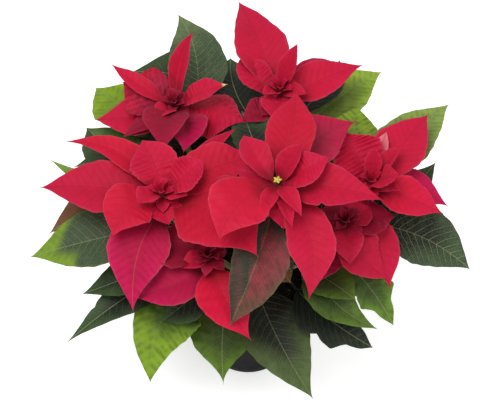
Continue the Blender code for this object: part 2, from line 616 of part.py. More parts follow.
def separate(first, second, hits, settled):
    """Bends two blades that meet apart, always to the side on which they first lay."""
    where_first = stations_hit(first, [hit[0] for hit in hits]).mean()
    where_second = stations_hit(second, [hit[1] for hit in hits]).mean()
    normal_first = normal_at(first, where_first)
    normal_second = normal_at(second, where_second)
    if normal_first @ normal_second < 0:
        normal_second = -normal_second
    way = unit(normal_first + normal_second)
    key = (first.name, second.name)
    if key not in settled:
        apart = (centre_at(first, where_first) - centre_at(second, where_second)) @ way
        settled[key] = way if apart >= 0 else -way
    if way @ settled[key] < 0:
        way = -way
    share = where_first / (where_first + where_second + 1e-6)
    push(first, where_first, way * BEND_STEP * share)
    push(second, where_second, -way * BEND_STEP * (1 - share))


def slide_off(blade, path, hits):
    """Moves a blade sideways off a shoot, a hub or the pot that it meets."""
    where = stations_hit(blade, [hit[0] for hit in hits]).mean()
    centre = centre_at(blade, where)
    nearest = path[np.argmin(np.linalg.norm(path - centre, axis=1))]
    away = centre - nearest
    push(blade, where, unit(away) * BEND_STEP)


def hub_path(head):
    """Points along the short stalk that a head's bracts grow from."""
    top = head_top(head)
    foot = top - head_axis(head) * HUB_LENGTH
    return np.linspace(foot, top - head_axis(head) * MM, HUB_STATIONS)


def fixed_pieces(paths):
    """What the blades must clear: shoots, hubs and buds, as a node name, a path and a search tree."""
    pieces = []
    for head, path in paths.items():
        points, faces = tube(path, [STEM_RADIUS + CLEARANCE] * len(path), STEM_SIDES)
        pieces.append((f"leafy_stem_{head}", path, tree_of(points, faces)))
        hub = hub_path(head)
        points, faces = tube(hub, [HUB_RADIUS + CLEARANCE] * len(hub), STEM_SIDES)
        pieces.append((f"bracts_{head}", hub, tree_of(points, faces)))
    for head in BUD_HEADS:
        cluster = np.linspace(head_top(head), head_top(head) + head_axis(head) * 2 * BUD_HEIGHT, 3)
        reach = BUD_RING_RADIUS + BUD_RADIUS + CLEARANCE
        points, faces = tube(cluster, [BUD_BASE_RADIUS + CLEARANCE, reach, reach], STEM_SIDES)
        pieces.append((f"buds_{head}", cluster, tree_of(points, faces)))
    trunk = np.linspace((0, 0, SOIL_TOP), (0, 0, TRUNK_TOP), 6)
    points, faces = tube(trunk, [TRUNK_RADIUS + CLEARANCE] * len(trunk), STEM_SIDES)
    pieces.append(("trunk", trunk, tree_of(points, faces)))
    return pieces


def fused(name, shapes, surface):
    """One solid from overlapping closed shapes."""
    group = bpy.data.collections.new(f"{name}_shapes")
    for index, (points, faces) in enumerate(shapes[1:]):
        piece = add_object(f"{name}_shape_{index}", points, faces, surface)
        bpy.context.scene.collection.objects.unlink(piece)
        group.objects.link(piece)
    whole = add_object(name, *shapes[0], surface)
    union = whole.modifiers.new("union", "BOOLEAN")
    union.operation = "UNION"
    union.operand_type = "COLLECTION"
    union.collection = group
    union.solver = "EXACT"
    graph = bpy.context.evaluated_depsgraph_get()
    mesh = bpy.data.meshes.new_from_object(whole.evaluated_get(graph))
    whole.modifiers.clear()
    whole.data = mesh
    for piece in list(group.objects):
        bpy.data.objects.remove(piece, do_unlink=True)
    bpy.data.collections.remove(group)
    return whole


def ball(centre, radius):
    """A bud, a little taller than wide."""
    made = bmesh.new()
    bmesh.ops.create_icosphere(made, subdivisions=1, radius=radius)
    points = np.array([vert.co for vert in made.verts])
    points[:, 2] *= BUD_STRETCH
    faces = [tuple(vert.index for vert in face.verts) for face in made.faces]
    made.free()
    return points + centre, faces


def make_buds(head, surface):
    """A cluster of flower buds on a short base, just above the hub."""
    axis = head_axis(head)
    base = head_top(head)
    foot = np.linspace(base, base + axis * BUD_BASE_HEIGHT, 2)
    shapes = [tube(foot, [BUD_BASE_RADIUS, BUD_BASE_RADIUS], STEM_SIDES)]
    shapes.append(ball(base + axis * (BUD_HEIGHT + MIDDLE_BUD_LIFT), BUD_RADIUS))
    for index in range(BUD_RING):
        angle = 2 * math.pi * index / BUD_RING
        out = np.array([math.cos(angle), math.sin(angle), 0]) * BUD_RING_RADIUS
        shapes.append(ball(base + out + axis * BUD_HEIGHT, RING_BUD_RADIUS))
    return fused(f"buds_{head}", shapes, surface)


def shapes_of(blades, node):
    return [(blade.points(), blade.faces) for blade in blades if blade.node == node]


def main():
    clear_scene()
    black_plastic = material("pot_plastic", (0.020, 0.020, 0.026), 0.42)
    peat = material("peat", (0.018, 0.014, 0.012), 0.95)
    bark = material("bark", (0.16, 0.12, 0.06), 0.8)
    make_pot(black_plastic)
    make_soil(peat)
    make_trunk(bark)
    paths = {head: stem_path(head) for head in HEADS}
    blades = [Blade(row, paths) for row in BRACTS + LEAVES]
    clear_crossings(blades, fixed_pieces(paths))
    for head, path in paths.items():
        green = material(f"leaf_green_{head}", (0.035, 0.085, 0.028), 0.5)
        red = material(f"bract_red_{head}", (0.52, 0.012, 0.045), 0.5)
        radii = np.linspace(STEM_RADIUS, HUB_RADIUS, len(path))
        hub = hub_path(head)
        leafy_stem = f"leafy_stem_{head}"
        bracts = f"bracts_{head}"
        fused(leafy_stem, [tube(path, radii, STEM_SIDES)] + shapes_of(blades, leafy_stem), green)
        fused(bracts, [tube(hub, [HUB_RADIUS] * len(hub), STEM_SIDES)] + shapes_of(blades, bracts), red)
    for head in BUD_HEADS:
        make_buds(head, material(f"bud_yellow_{head}", (0.55, 0.60, 0.10), 0.5))


main()
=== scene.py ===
"""The looks of a poinsettia in its nursery pot: fine blades with ribs and side veins, a crumbly soil, soft light.

The blades are settled by the same tables and the same bending as in the part's source, and are then
built finely on the settled lines. Metres, +Z up. Tables are in millimetres. The viewer stands at -Y.
"""

import math

import bmesh
import bpy
import numpy as np
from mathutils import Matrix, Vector
from mathutils.bvhtree import BVHTree


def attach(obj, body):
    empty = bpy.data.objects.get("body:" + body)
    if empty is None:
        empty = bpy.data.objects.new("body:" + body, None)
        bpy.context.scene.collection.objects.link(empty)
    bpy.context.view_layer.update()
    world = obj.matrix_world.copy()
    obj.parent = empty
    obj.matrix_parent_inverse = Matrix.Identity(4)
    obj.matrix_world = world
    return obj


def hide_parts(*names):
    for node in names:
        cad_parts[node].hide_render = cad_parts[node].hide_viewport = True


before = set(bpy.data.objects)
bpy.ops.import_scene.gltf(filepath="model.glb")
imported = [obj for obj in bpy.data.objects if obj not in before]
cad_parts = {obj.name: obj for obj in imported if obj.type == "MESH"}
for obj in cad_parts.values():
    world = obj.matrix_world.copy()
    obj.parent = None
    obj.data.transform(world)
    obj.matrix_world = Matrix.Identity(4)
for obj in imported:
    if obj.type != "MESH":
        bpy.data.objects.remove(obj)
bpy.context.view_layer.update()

MM = 0.001
# Clear space between two pieces that touch on the real plant.
GAP = 0.4 * MM

# Pot: a tapered wall with a rim band and holes in its floor.
POT_HEIGHT = 103 * MM
POT_BASE_RADIUS = 44 * MM
POT_TOP_RADIUS = 58 * MM
POT_WALL = 1.3 * MM
POT_FLOOR = 1.8 * MM
FOOT_BEVEL = 1.5 * MM
RIM_RADIUS = 60.5 * MM
RIM_HEIGHT = 9 * MM
RIM_LIP = 1.0 * MM
RIM_STEP = 0.6 * MM
DRAIN_COUNT = 6
DRAIN_RADIUS = 4.5 * MM
DRAIN_CIRCLE = 31 * MM
DRAIN_TURN = math.radians(33.4)
DRAIN_SIDES = 12
POT_SIDES = 48

# Soil and the trunk that stands in a plain hole in it.
SOIL_TOP = 92 * MM
SOIL_CRUMB = 1.6 * MM
SOIL_EDGE = 3 * MM
SOIL_RINGS = (15 * MM, 24 * MM, 33 * MM, 42 * MM)
SOIL_SIDES = 32
TRUNK_RADIUS = 6.5 * MM
TRUNK_HOLE = 7.7 * MM
TRUNK_FOOT = 50 * MM
TRUNK_TOP = 126 * MM
TRUNK_SIDES = 14
TRUNK_LEVELS = 9
KNOB = 0.25 * MM

# Each head: where its flower buds sit, and the compass angle at which its shoot leaves the trunk.
HEADS = {
    "a": (26, -9, 280, None),
    "b": (-79, 6, 242, 175),
    "c": (31, 124, 248, 68),
    "d": (-71, 117, 235, 118),
    "e": (115, 26, 232, 18),
    "f": (90, -7, 215, -32),
    "g": (-36, -42, 210, -128),
}
# Shoots and hubs. Their ends point up by this many times the rise of a head over the trunk.
UPRIGHT = 2.6
HUB_LENGTH = 24 * MM
HUB_RADIUS = 2.6 * MM
HUB_STATIONS = 4
STEM_RADIUS = 3.0 * MM
STEM_SIDES = 8
STEM_STATIONS = 12
# A shoot leaves the trunk's side this far under its top, climbing this much for each unit outwards.
FORK_DROP = 6 * MM
FORK_CLIMB = 0.9
# How far the shoot keeps its first and its last direction, as shares of its length.
LEAVE_SHARE = 0.38
ARRIVE_SHARE = 0.36
# How far the shoot's slanting end face reaches back towards the trunk, as a share of its radius.
SLANT = 0.60

# Blades: name, head, tip x, y, z, width, widest, arch, bow, roll, fold, root, kind.
# Widest is the share of the blade at which it is widest. Arch lifts the middle and bow moves it to
# the right of its run, both as a share of the length. Roll leans the upper face to the right, and
# fold raises the edges, both in degrees. Root is millimetres below the buds for a bract, and a
# share of the shoot's length for a leaf.
BRACTS = (
    ("a1", "a", 44, 83, 295, 47, 0.44, 0.08, 0.04, 0, 14, 8, "bract"),
    ("a2", "a", 49, 14, 306, 26, 0.46, 0.08, 0, 0, 34, 9, "small"),
    ("a3", "a", 71, 3, 300, 36, 0.48, 0.10, 0.06, 6, 16, 8, "small"),
    ("a4", "a", 120, -24, 272, 44, 0.36, 0.11, 0, 12, 14, 10, "bract"),
    ("a5", "a", 47, -51, 285, 18, 0.42, 0.14, 0, 0, 26, 7, "small"),
    ("a6", "a", 12, -48, 278, 17, 0.42, 0.12, 0, 0, 24, 7, "small"),
    ("a7", "a", 39, -54, 272, 17, 0.42, 0.10, 0, 0, 34, 7, "small"),
    ("a8", "a", 53, -104, 235, 45, 0.52, 0.08, -0.15, 0, 12, 15, "bract"),
    ("a9", "a", -25, -71, 278, 57, 0.50, 0.12, 0.10, -6, 8, 9, "bract"),
    ("a10", "a", -4, 40, 284, 30, 0.50, 0.10, -0.06, 0, 24, 6, "small"),
    ("a11", "a", -11, 8, 272, 34, 0.46, 0.10, 0.04, -6, 12, 12, "bract"),
    ("a12", "a", 101, 77, 258, 54, 0.48, 0.08, -0.08, 8, 12, 19, "bract"),
    ("a13", "a", 14, -35, 258, 24, 0.46, 0.10, 0, 0, 18, 11, "small"),
    ("a14", "a", 32, -45, 258, 28, 0.52, 0.10, 0, 0, 20, 12, "small"),
    ("b1", "b", -193, 25, 225, 53, 0.46, 0.08, 0.00, -12, 12, 12, "bract"),
    ("b2", "b", -121, -38, 235, 52, 0.50, 0.10, 0.16, -4, 12, 8, "bract"),
    ("b3", "b", -172, 63, 245, 30, 0.36, 0.08, 0.13, -10, 24, 8, "bract"),
    ("b3u", "b", -97, 52, 262, 46, 0.50, 0.06, 0.04, -6, 14, 5, "small"),
    ("b4", "b", -99, -14, 254, 24, 0.62, 0.14, 0, 0, 26, 3, "small"),
    ("b5", "b", -40, 26, 266, 40, 0.56, 0.08, 0.04, -6, 10, 4, "small"),
    ("b6", "b", 9, -66, 246, 80, 0.44, 0.08, -0.08, 6, 8, 10, "bract"),
    ("b7", "b", -104, -83, 180, 60, 0.42, 0.10, 0.10, 0, 10, 20, "bract"),
    ("b8", "b", 9, 40, 250, 50, 0.50, 0.10, -0.04, 8, 12, 10, "bract"),
    ("b9", "b", -11, 79, 245, 20, 0.46, 0.10, 0, 0, 30, 16, "small"),
    ("b11", "b", -66, 12, 246, 20, 0.50, 0.12, 0, 0, 24, 6, "small"),
    ("b12", "b", -54, -4, 252, 22, 0.56, 0.12, 0, 0, 22, 5, "small"),
    ("b13", "b", -71, -22, 232, 34, 0.46, 0.08, 0.06, 0, 16, 7, "small"),
    ("c1", "c", -10, 243, 245, 52, 0.35, 0.10, 0.00, 0, 12, 12, "bract"),
    ("c2", "c", 112, 158, 245, 42, 0.34, 0.08, 0.02, 12, 14, 12, "bract"),
    ("c2b", "c", 102, 163, 235, 36, 0.46, 0.08, -0.09, 12, 14, 18, "bract"),
    ("c3", "c", 47, 150, 285, 22, 0.44, 0.06, 0, 0, 32, 4, "small"),
    ("c5", "c", -7, 166, 248, 34, 0.46, 0.08, -0.10, -8, 22, 8, "small"),
    ("c6", "c", 25, 89, 245, 34, 0.46, 0.12, 0, 0, 18, 8, "small"),
    ("c7", "c", -6, 101, 228, 28, 0.46, 0.08, 0, -10, 20, 16, "small"),
    ("c8", "c", 56, 112, 256, 18, 0.44, 0.12, 0, 10, 24, 5, "small"),
    ("c12", "c", 13, 100, 238, 26, 0.46, 0.10, 0, -4, 18, 12, "small"),
    ("c13", "c", 13, 110, 258, 16, 0.44, 0.12, 0, 0, 24, 4, "small"),
    ("d1", "d", -132, 152, 254, 19, 0.46, 0.06, -0.06, -10, 20, 3, "bract"),
    ("d2", "d", -121, 140, 240, 56, 0.52, 0.08, -0.02, -10, 6, 7, "bract"),
    ("d3", "d", -53, 198, 250, 24, 0.40, 0.08, -0.05, 0, 40, 5, "bract"),
    ("d4", "d", -148, 114, 215, 44, 0.44, 0.10, -0.06, -10, 12, 16, "bract"),
    ("d5", "d", -119, 84, 225, 22, 0.44, 0.10, 0, 0, 22, 12, "small"),
    ("d6", "d", -19, 119, 262, 28, 0.48, 0.10, 0.02, 0, 18, 4, "bract"),
    ("d7", "d", -2, 96, 232, 60, 0.50, 0.12, -0.07, 0, -20, 10, "bract"),
    ("d8", "d", -77, 47, 250, 46, 0.42, 0.14, 0.05, 0, 20, 5, "bract"),
    ("d9", "d", -60, 54, 240, 44, 0.44, 0.12, -0.10, 0, 18, 13, "bract"),
    ("d10", "d", -88, 88, 248, 22, 0.46, 0.12, 0, 0, 26, 6, "small"),
    ("e1", "e", 90, 68, 254, 54, 0.50, 0.08, 0.00, 0, 18, 8, "bract"),
    ("e2", "e", 172, 105, 235, 50, 0.44, 0.08, 0.02, 6, 10, 14, "bract"),
    ("e3", "e", 181, 6, 210, 41, 0.46, 0.12, 0.03, 10, 14, 10, "bract"),
    ("e4", "e", 189, 25, 195, 45, 0.46, 0.10, -0.09, 8, 12, 19, "bract"),
    ("e5", "e", 140, 10, 240, 18, 0.44, 0.10, 0, 0, 26, 6, "small"),
    ("e6", "e", 141, 54, 250, 19, 0.44, 0.10, 0, 0, 34, 4, "small"),
    ("e7", "e", 116, 44, 262, 18, 0.50, 0.10, 0, 0, 26, 3, "small"),
    ("e9", "e", 84, 70, 220, 40, 0.46, 0.08, 0, -6, 14, 16, "bract"),
    ("e11", "e", 137, 18, 256, 28, 0.54, 0.14, 0.10, 0, 14, 3, "small"),
    ("e12", "e", 130, 77, 243, 14, 0.60, 0.10, 0, 0, 10, 7, "small"),
    ("f1", "f", 130, -44, 175, 50, 0.46, 0.10, 0.12, -6, 12, 10, "bract"),
    ("f2", "f", 132, -48, 165, 48, 0.46, 0.12, -0.20, 6, 12, 17, "bract"),
    ("f3", "f", 60, -54, 175, 42, 0.46, 0.10, 0, 0, 16, 12, "bract"),
    ("f6", "f", 66, 13, 206, 34, 0.46, 0.10, 0, 0, 18, 8, "small"),
    ("f7", "f", 115, 12, 210, 34, 0.46, 0.10, 0, 0, 18, 8, "small"),
    ("f8", "f", 138, 8, 203, 42, 0.46, 0.10, 0, 0, 12, 12, "bract"),
    ("f10", "f", 93, -48, 206, 32, 0.46, 0.12, 0.00, 0, 18, 6, "small"),
    ("g1", "g", 3, -106, 170, 52, 0.42, 0.10, 0.08, 0, 12, 12, "bract"),
    ("g2", "g", -105, -64, 175, 46, 0.44, 0.10, -0.12, -8, 12, 16, "bract"),
    ("g3", "g", -61, -51, 205, 22, 0.44, 0.10, 0, 0, 26, 5, "small"),
    ("g5", "g", -86, -14, 196, 62, 0.46, 0.08, 0, 0, 12, 8, "bract"),
)
LEAVES = (
    ("l1", "b", -204, -19, 175, 60, 0.40, 0.08, -0.03, -10, 10, 0.80, "leaf"),
    ("l2", "b", -189, 11, 170, 50, 0.50, 0.08, 0.20, -6, 12, 0.66, "leaf"),
    ("l3", "b", -194, 93, 180, 16, 0.42, 0.02, -0.05, -6, 18, 0.92, "leaf"),
    ("l4", "b", -170, 84, 182, 60, 0.46, 0.08, 0.26, 0, 14, 0.74, "leaf"),
    ("l5", "b", -160, 129, 185, 58, 0.60, 0.08, -0.02, 0, 14, 0.62, "leaf"),
    ("l6", "d", -153, 175, 190, 63, 0.54, 0.08, -0.05, 0, 8, 0.80, "leaf"),
    ("l7", "d", -118, 190, 195, 68, 0.48, 0.08, 0.34, 0, 12, 0.90, "leaf"),
    ("l8", "d", -72, 256, 210, 60, 0.34, 0.06, 0.10, 0, 10, 0.86, "leaf"),
    ("l9", "c", -18, 214, 195, 66, 0.50, 0.08, -0.11, 0, 12, 0.76, "leaf"),
    ("l10", "c", 94, 213, 190, 38, 0.44, 0.08, 0.08, 0, 12, 0.84, "leaf"),
    ("l11", "c", 135, 191, 200, 57, 0.44, 0.08, -0.02, 8, 12, 0.66, "leaf"),
    ("l12", "e", 106, 140, 200, 50, 0.50, 0.08, 0.00, 0, 12, 0.80, "leaf"),
    ("l13", "e", 199, 146, 200, 56, 0.30, 0.08, -0.01, 0, 10, 0.90, "leaf"),
    ("l14", "e", 185, 97, 170, 36, 0.44, 0.02, 0.10, 0, 12, 0.70, "leaf"),
    ("l15", "e", 211, -16, 150, 64, 0.50, 0.10, -0.09, 8, 10, 0.60, "leaf"),
    ("l16", "f", 137, -66, 130, 42, 0.42, 0.08, -0.05, 6, 10, 0.80, "lobed"),
    ("l17", "f", 121, -73, 135, 46, 0.32, 0.10, 0.20, 0, 10, 0.66, "short"),
    ("l18", "f", 118, -79, 110, 58, 0.42, 0.10, 0.11, 0, 12, 0.30, "lobed"),
    ("l19", "a", 61, -127, 100, 66, 0.40, 0.10, 0.07, 0, 10, 0.12, "leaf"),
    ("l20", "g", -23, -110, 95, 62, 0.44, 0.10, 0.05, 0, 10, 0.22, "pointed"),
    ("l21", "g", -81, -68, 140, 48, 0.44, 0.10, -0.08, 0, 12, 0.80, "leaf"),
    ("l22", "g", -91, -118, 115, 76, 0.24, 0.08, 0.20, 0, 10, 0.50, "leaf"),
    ("l23", "b", -156, -44, 150, 44, 0.40, 0.08, -0.08, -6, 12, 0.50, "leaf"),
    ("l24", "b", -173, -81, 118, 42, 0.32, 0.10, 0.00, -6, 12, 0.30, "leaf"),
    ("l25", "a", -16, -100, 186, 60, 0.44, 0.06, -0.04, 0, 12, 0.97, "short"),
    ("l27", "a", 40, -41, 165, 36, 0.56, 0.06, 0.05, 0, 12, 0.50, "leaf"),
    ("l28", "a", -6, 126, 214, 40, 0.52, 0.08, 0, 0, 14, 0.86, "leaf"),
    ("l29", "d", -25, 105, 185, 24, 0.46, 0.08, 0, 0, 14, 0.50, "leaf"),
    ("l30", "c", 70, 225, 140, 46, 0.44, 0.10, 0, 0, 12, 0.50, "leaf"),
    ("l31", "c", 5, 205, 130, 42, 0.44, 0.10, 0, 0, 12, 0.36, "leaf"),
    ("l32", "d", -75, 205, 135, 46, 0.44, 0.10, 0, 0, 12, 0.52, "leaf"),
    ("l33", "d", -135, 135, 130, 42, 0.44, 0.10, 0, 0, 12, 0.36, "leaf"),
    ("l34", "e", 155, 60, 125, 42, 0.44, 0.10, 0, 0, 12, 0.40, "leaf"),
    ("l35", "e", 95, 130, 130, 40, 0.44, 0.10, 0, 0, 12, 0.28, "leaf"),
    ("l36", "b", -135, 70, 120, 40, 0.44, 0.10, 0, 0, 12, 0.28, "leaf"),
    ("n1", "b", -52, -2, 205, 56, 0.50, 0.08, 0, 0, 12, 0.74, "short"),
    ("n2", "a", -35, 74, 205, 50, 0.50, 0.08, 0, 0, 12, 0.45, "short"),
    ("n3", "a", 84, -18, 185, 52, 0.50, 0.08, 0, 0, 12, 0.42, "short"),
    ("n4", "e", 86, 82, 200, 46, 0.50, 0.08, 0, 0, 12, 0.50, "short"),
    ("n5", "d", -101, 92, 195, 44, 0.50, 0.08, 0, 0, 12, 0.62, "short"),
    ("n6", "c", -26, 116, 200, 44, 0.50, 0.08, 0, 0, 12, 0.66, "short"),
    ("n8", "d", -21, 137, 195, 56, 0.46, 0.08, 0, 0, 12, 0.62, "short"),
    ("n9", "e", 125, 48, 190, 42, 0.50, 0.08, 0, 0, 12, 0.62, "short"),
    ("n10", "d", -96, 128, 200, 40, 0.56, 0.06, 0, 0, 12, 0.80, "short"),
    ("n11", "d", -6, 165, 200, 46, 0.50, 0.08, 0, 0, 12, 0.84, "short"),
    ("n13", "a", 40, -45, 190, 40, 0.50, 0.08, 0, 0, 12, 0.60, "short"),
    ("n14", "a", 40, 40, 246, 36, 0.50, 0.08, 0, 0, 12, 0.90, "short"),
    ("n17", "f", 100, -60, 165, 46, 0.50, 0.08, 0, 0, 12, 0.46, "short"),
)

# A stalk longer than this share of its blade has one more station, this far along it.
LONG_STALK = 0.1
STALK_MIDDLE = 0.6
# Each kind of blade: share of the length that is stalk, how full it is at its foot (less is fuller),
# how it narrows to the tip (more is a finer point), waves, stations.
KINDS = {
    "bract": {"stalk": 0.08, "foot": 0.80, "narrow": 1.60, "wave": 0.05, "steps": (0.18, 0.4, 0.64, 0.86)},
    "small": {"stalk": 0.08, "foot": 0.85, "narrow": 1.30, "wave": 0.05, "steps": (0.22, 0.5, 0.8)},
    "leaf": {"stalk": 0.26, "foot": 0.62, "narrow": 1.40, "wave": 0.04, "steps": (0.16, 0.38, 0.64, 0.86)},
    "pointed": {
        "stalk": 0.26,
        "foot": 0.50,
        "narrow": 2.00,
        "wave": 0.04,
        "steps": (0.14, 0.32, 0.54, 0.76, 0.9),
    },
    "short": {"stalk": 0.14, "foot": 0.70, "narrow": 1.30, "wave": 0.04, "steps": (0.22, 0.5, 0.78)},
    "lobed": {
        "stalk": 0.24,
        "foot": 0.75,
        "narrow": 1.15,
        "wave": 0.04,
        "steps": (0.16, 0.34, 0.46, 0.62, 0.74, 0.9),
    },
}
# Width factors that give a lobed leaf its points, one for each step above.
LOBES = (1.0, 1.16, 0.80, 1.18, 0.74, 1.0)
WAVES_PER_BLADE = 2.5
# Roll and fold grow to their full angle over this share of the length.
TURN_SHARE = 0.3
BLADE_THICKNESS = 0.7 * MM
STALK_THICKNESS = 1.9 * MM
STALK_HALF_WIDTH = 1.1 * MM
TIP_HALF_WIDTH = 0.5 * MM

# Bending blades clear of one another.
CLEARANCE = 0.5 * MM
BEND_STEP = 0.5 * MM
BEND_ROUNDS = 160
LEAST_SHARE = 0.05
POINTS_PER_STATION = 6
FACES_PER_STATION = 12

# Flower buds: one in the middle and a ring round it, on a short base.
BUD_RADIUS = 2.0 * MM
BUD_RING = 5
BUD_RING_RADIUS = 3.0 * MM
BUD_BASE_RADIUS = 2.2 * MM
BUD_BASE_HEIGHT = 2.4 * MM
BUD_HEIGHT = 3.6 * MM
MIDDLE_BUD_LIFT = 0.8 * MM
RING_BUD_RADIUS = 1.84 * MM
BUD_STRETCH = 1.3
BUD_HEADS = ("a",)


def unit(vector):
    return vector / np.linalg.norm(vector)


def head_top(head):
    return np.array(HEADS[head][:3]) * MM


def head_axis(head):
    """The way that a shoot's end and its hub point: up, leaning outwards a little."""
    top = head_top(head)
    return unit(np.array([top[0], top[1], UPRIGHT * (top[2] - TRUNK_TOP)]))


def stem_path(head):
    """Points along a shoot, from just off the trunk to its hub's foot."""
    end = head_top(head) - head_axis(head) * (HUB_LENGTH + GAP)
    angle = HEADS[head][3]
    if angle is None:
        start = np.array([0, 0, TRUNK_TOP + GAP])
        leave = np.array([0.0, 0.0, 1.0])
    else:
        outward = np.array([math.cos(math.radians(angle)), math.sin(math.radians(angle)), 0])
        reach = TRUNK_RADIUS + GAP + SLANT * STEM_RADIUS
        start = outward * reach + np.array([0, 0, TRUNK_TOP - FORK_DROP])
        leave = unit(outward + np.array([0, 0, FORK_CLIMB]))
    length = np.linalg.norm(end - start)
    first = start + leave * length * LEAVE_SHARE
    second = end - head_axis(head) * length * ARRIVE_SHARE
    share = np.linspace(0, 1, STEM_STATIONS)[:, None]
    rest = 1 - share
    return rest**3 * start + 3 * rest**2 * share * first + 3 * rest * share**2 * second + share**3 * end


def point_on(path, share):
    place = share * (len(path) - 1)
    low = min(int(place), len(path) - 2)
    return path[low] + (path[low + 1] - path[low]) * (place - low)


def tube(path, radii, sides):
    """Points and triangles of a round closed tube along a path."""
    points = []
    side = np.array([1.0, 0, 0])
    for index, centre in enumerate(path):
        ahead = unit(path[min(index + 1, len(path) - 1)] - path[max(index - 1, 0)])
        side = unit(side - ahead * (side @ ahead))
        other = np.cross(ahead, side)
        for step in range(sides):
            angle = 2 * math.pi * step / sides
            points.append(centre + radii[index] * (side * math.cos(angle) + other * math.sin(angle)))
    faces = []
    for ring in range(len(path) - 1):
        low = ring * sides
        for step in range(sides):
            following = (step + 1) % sides
            faces.append((low + step, low + following, low + sides + following))
            faces.append((low + step, low + sides + following, low + sides + step))
    for step in range(1, sides - 1):
        faces.append((0, step + 1, step))
        top = (len(path) - 1) * sides
        faces.append((top, top + step, top + step + 1))
    return np.array(points), faces


def blade_outline(shape, widest, along):
    """A blade's width as a share of its greatest, at shares of its length without the stalk."""
    foot = np.sin(math.pi / 2 * np.clip(along / widest, 0, 1)) ** shape["foot"]
    beyond = np.clip((along - widest) / (1 - widest), 0, 1)
    return foot * (1 - beyond) ** shape["narrow"] * (1 + shape["narrow"] * beyond)


class Blade:
    """One bract or leaf: its row of the table, its stations along the length, and how far each is bent."""

    def __init__(self, row, paths):
        self.name, self.head, *tip, width, self.widest, self.arch, self.bow, roll, fold, root, self.kind = row
        self.tip = np.array(tip) * MM
        self.half_width = width * MM / 2
        self.roll = math.radians(roll)
        self.fold = math.radians(fold)
        if self.kind in ("bract", "small"):
            self.node = f"bracts_{self.head}"
            self.root = head_top(self.head) - head_axis(self.head) * root * MM
        else:
            self.node = f"leafy_stem_{self.head}"
            self.root = point_on(paths[self.head], root)
        shape = KINDS[self.kind]
        stalk = shape["stalk"]
        steps = [stalk + (1 - stalk) * step for step in shape["steps"]]
        foot = (0, stalk) if stalk < LONG_STALK else (0, STALK_MIDDLE * stalk, stalk)
        self.stalk_stations = len(foot)
        self.shares = np.array([*foot, *steps, 1.0])
        self.bend = np.zeros((len(self.shares), 3))
        self.faces = blade_faces(len(self.shares))
        self.phase = sum(map(ord, self.name)) % 7

    def half_widths(self):
        """Half the blade's width at each station."""
        shape = KINDS[self.kind]
        along = np.clip((self.shares - shape["stalk"]) / (1 - shape["stalk"]), 0, 1)
        half = self.half_width * blade_outline(shape, self.widest, along)
        if self.kind == "lobed":
            half[self.stalk_stations:-1] *= LOBES
        half[: self.stalk_stations] = STALK_HALF_WIDTH
        half[-1] = TIP_HALF_WIDTH
        return half

    def centres(self):
        """The midrib's point at each station, bend and all."""
        chord = self.tip - self.root
        length = np.linalg.norm(chord)
        right = unit(np.cross(chord, (0, 0, 1)))
        swell = (4 * self.shares * (1 - self.shares) * length)[:, None]
        rise = self.arch * np.array([0, 0, 1]) + self.bow * right
        return self.root + chord * self.shares[:, None] + swell * rise + self.bend

    def points(self, margin=0.0):
        """Six points a station: left edge, rib and right edge of the upper face, then of the lower."""
        centres = self.centres()
        ahead = np.gradient(centres, axis=0)
        ahead /= np.linalg.norm(ahead, axis=1)[:, None]
        up = np.array([0, 0, 1]) - ahead * ahead[:, 2:3]
        up /= np.linalg.norm(up, axis=1)[:, None]
        side = np.cross(ahead, up)
        grown = np.minimum(self.shares / TURN_SHARE, 1)
        turn = (self.roll * grown)[:, None]
        normal = up * np.cos(turn) + side * np.sin(turn)
        side = side * np.cos(turn) - up * np.sin(turn)
        half = self.half_widths()
        fold = self.fold * grown
        blade_start = self.shares[self.stalk_stations - 1 : self.stalk_stations + 1]
        thick = np.interp(self.shares, blade_start, [STALK_THICKNESS, BLADE_THICKNESS])
        thick = (thick / 2 / np.cos(fold) + margin)[:, None]
        swing = np.sin(2 * math.pi * WAVES_PER_BLADE * self.shares + self.phase)
        wave = KINDS[self.kind]["wave"] * half * swing
        rows = []
        for face in (1, -1):
            for edge in (-1, 0, 1):
                out = edge * (half * np.cos(fold) + margin)
                lift = abs(edge) * half * np.sin(fold) + edge * wave
                rows.append(centres + side * out[:, None] + normal * (lift[:, None] + face * thick))
        return np.stack(rows, 1).reshape(-1, 3)


def blade_faces(stations):
    """Triangles station by station, split alike on both faces, then the two end caps."""
    faces = []
    for station in range(stations - 1):
        a = station * POINTS_PER_STATION
        b = a + POINTS_PER_STATION
        for left in (0, 1):
            faces.append((a + left, a + left + 1, b + left + 1))
            faces.append((a + left, b + left + 1, b + left))
            faces.append((a + left + 3, b + left + 4, a + left + 4))
            faces.append((a + left + 3, b + left + 3, b + left + 4))
        faces.append((a, b, b + 3))
        faces.append((a, b + 3, a + 3))
        faces.append((a + 2, b + 5, b + 2))
        faces.append((a + 2, a + 5, b + 5))
    for base, turned in ((0, False), ((stations - 1) * POINTS_PER_STATION, True)):
        cap = [(0, 3, 4), (0, 4, 1), (1, 4, 5), (1, 5, 2)]
        for face in cap:
            face = tuple(base + corner for corner in face)
            faces.append(face[::-1] if turned else face)
    return faces


def tree_of(points, faces):
    return BVHTree.FromPolygons(points.tolist(), faces, all_triangles=True)


def stations_hit(blade, hits):
    """The share of the length at which each hit face lies."""
    last = len(blade.shares) - 2
    stations = np.minimum(np.array(hits) // FACES_PER_STATION, last)
    return (blade.shares[stations] + blade.shares[stations + 1]) / 2


def push(blade, where, move):
    """Bends a blade so that its point at this share of its length moves, and all beyond it too."""
    reach = np.minimum(blade.shares / max(where, LEAST_SHARE), 1)[:, None]
    blade.bend += reach * move


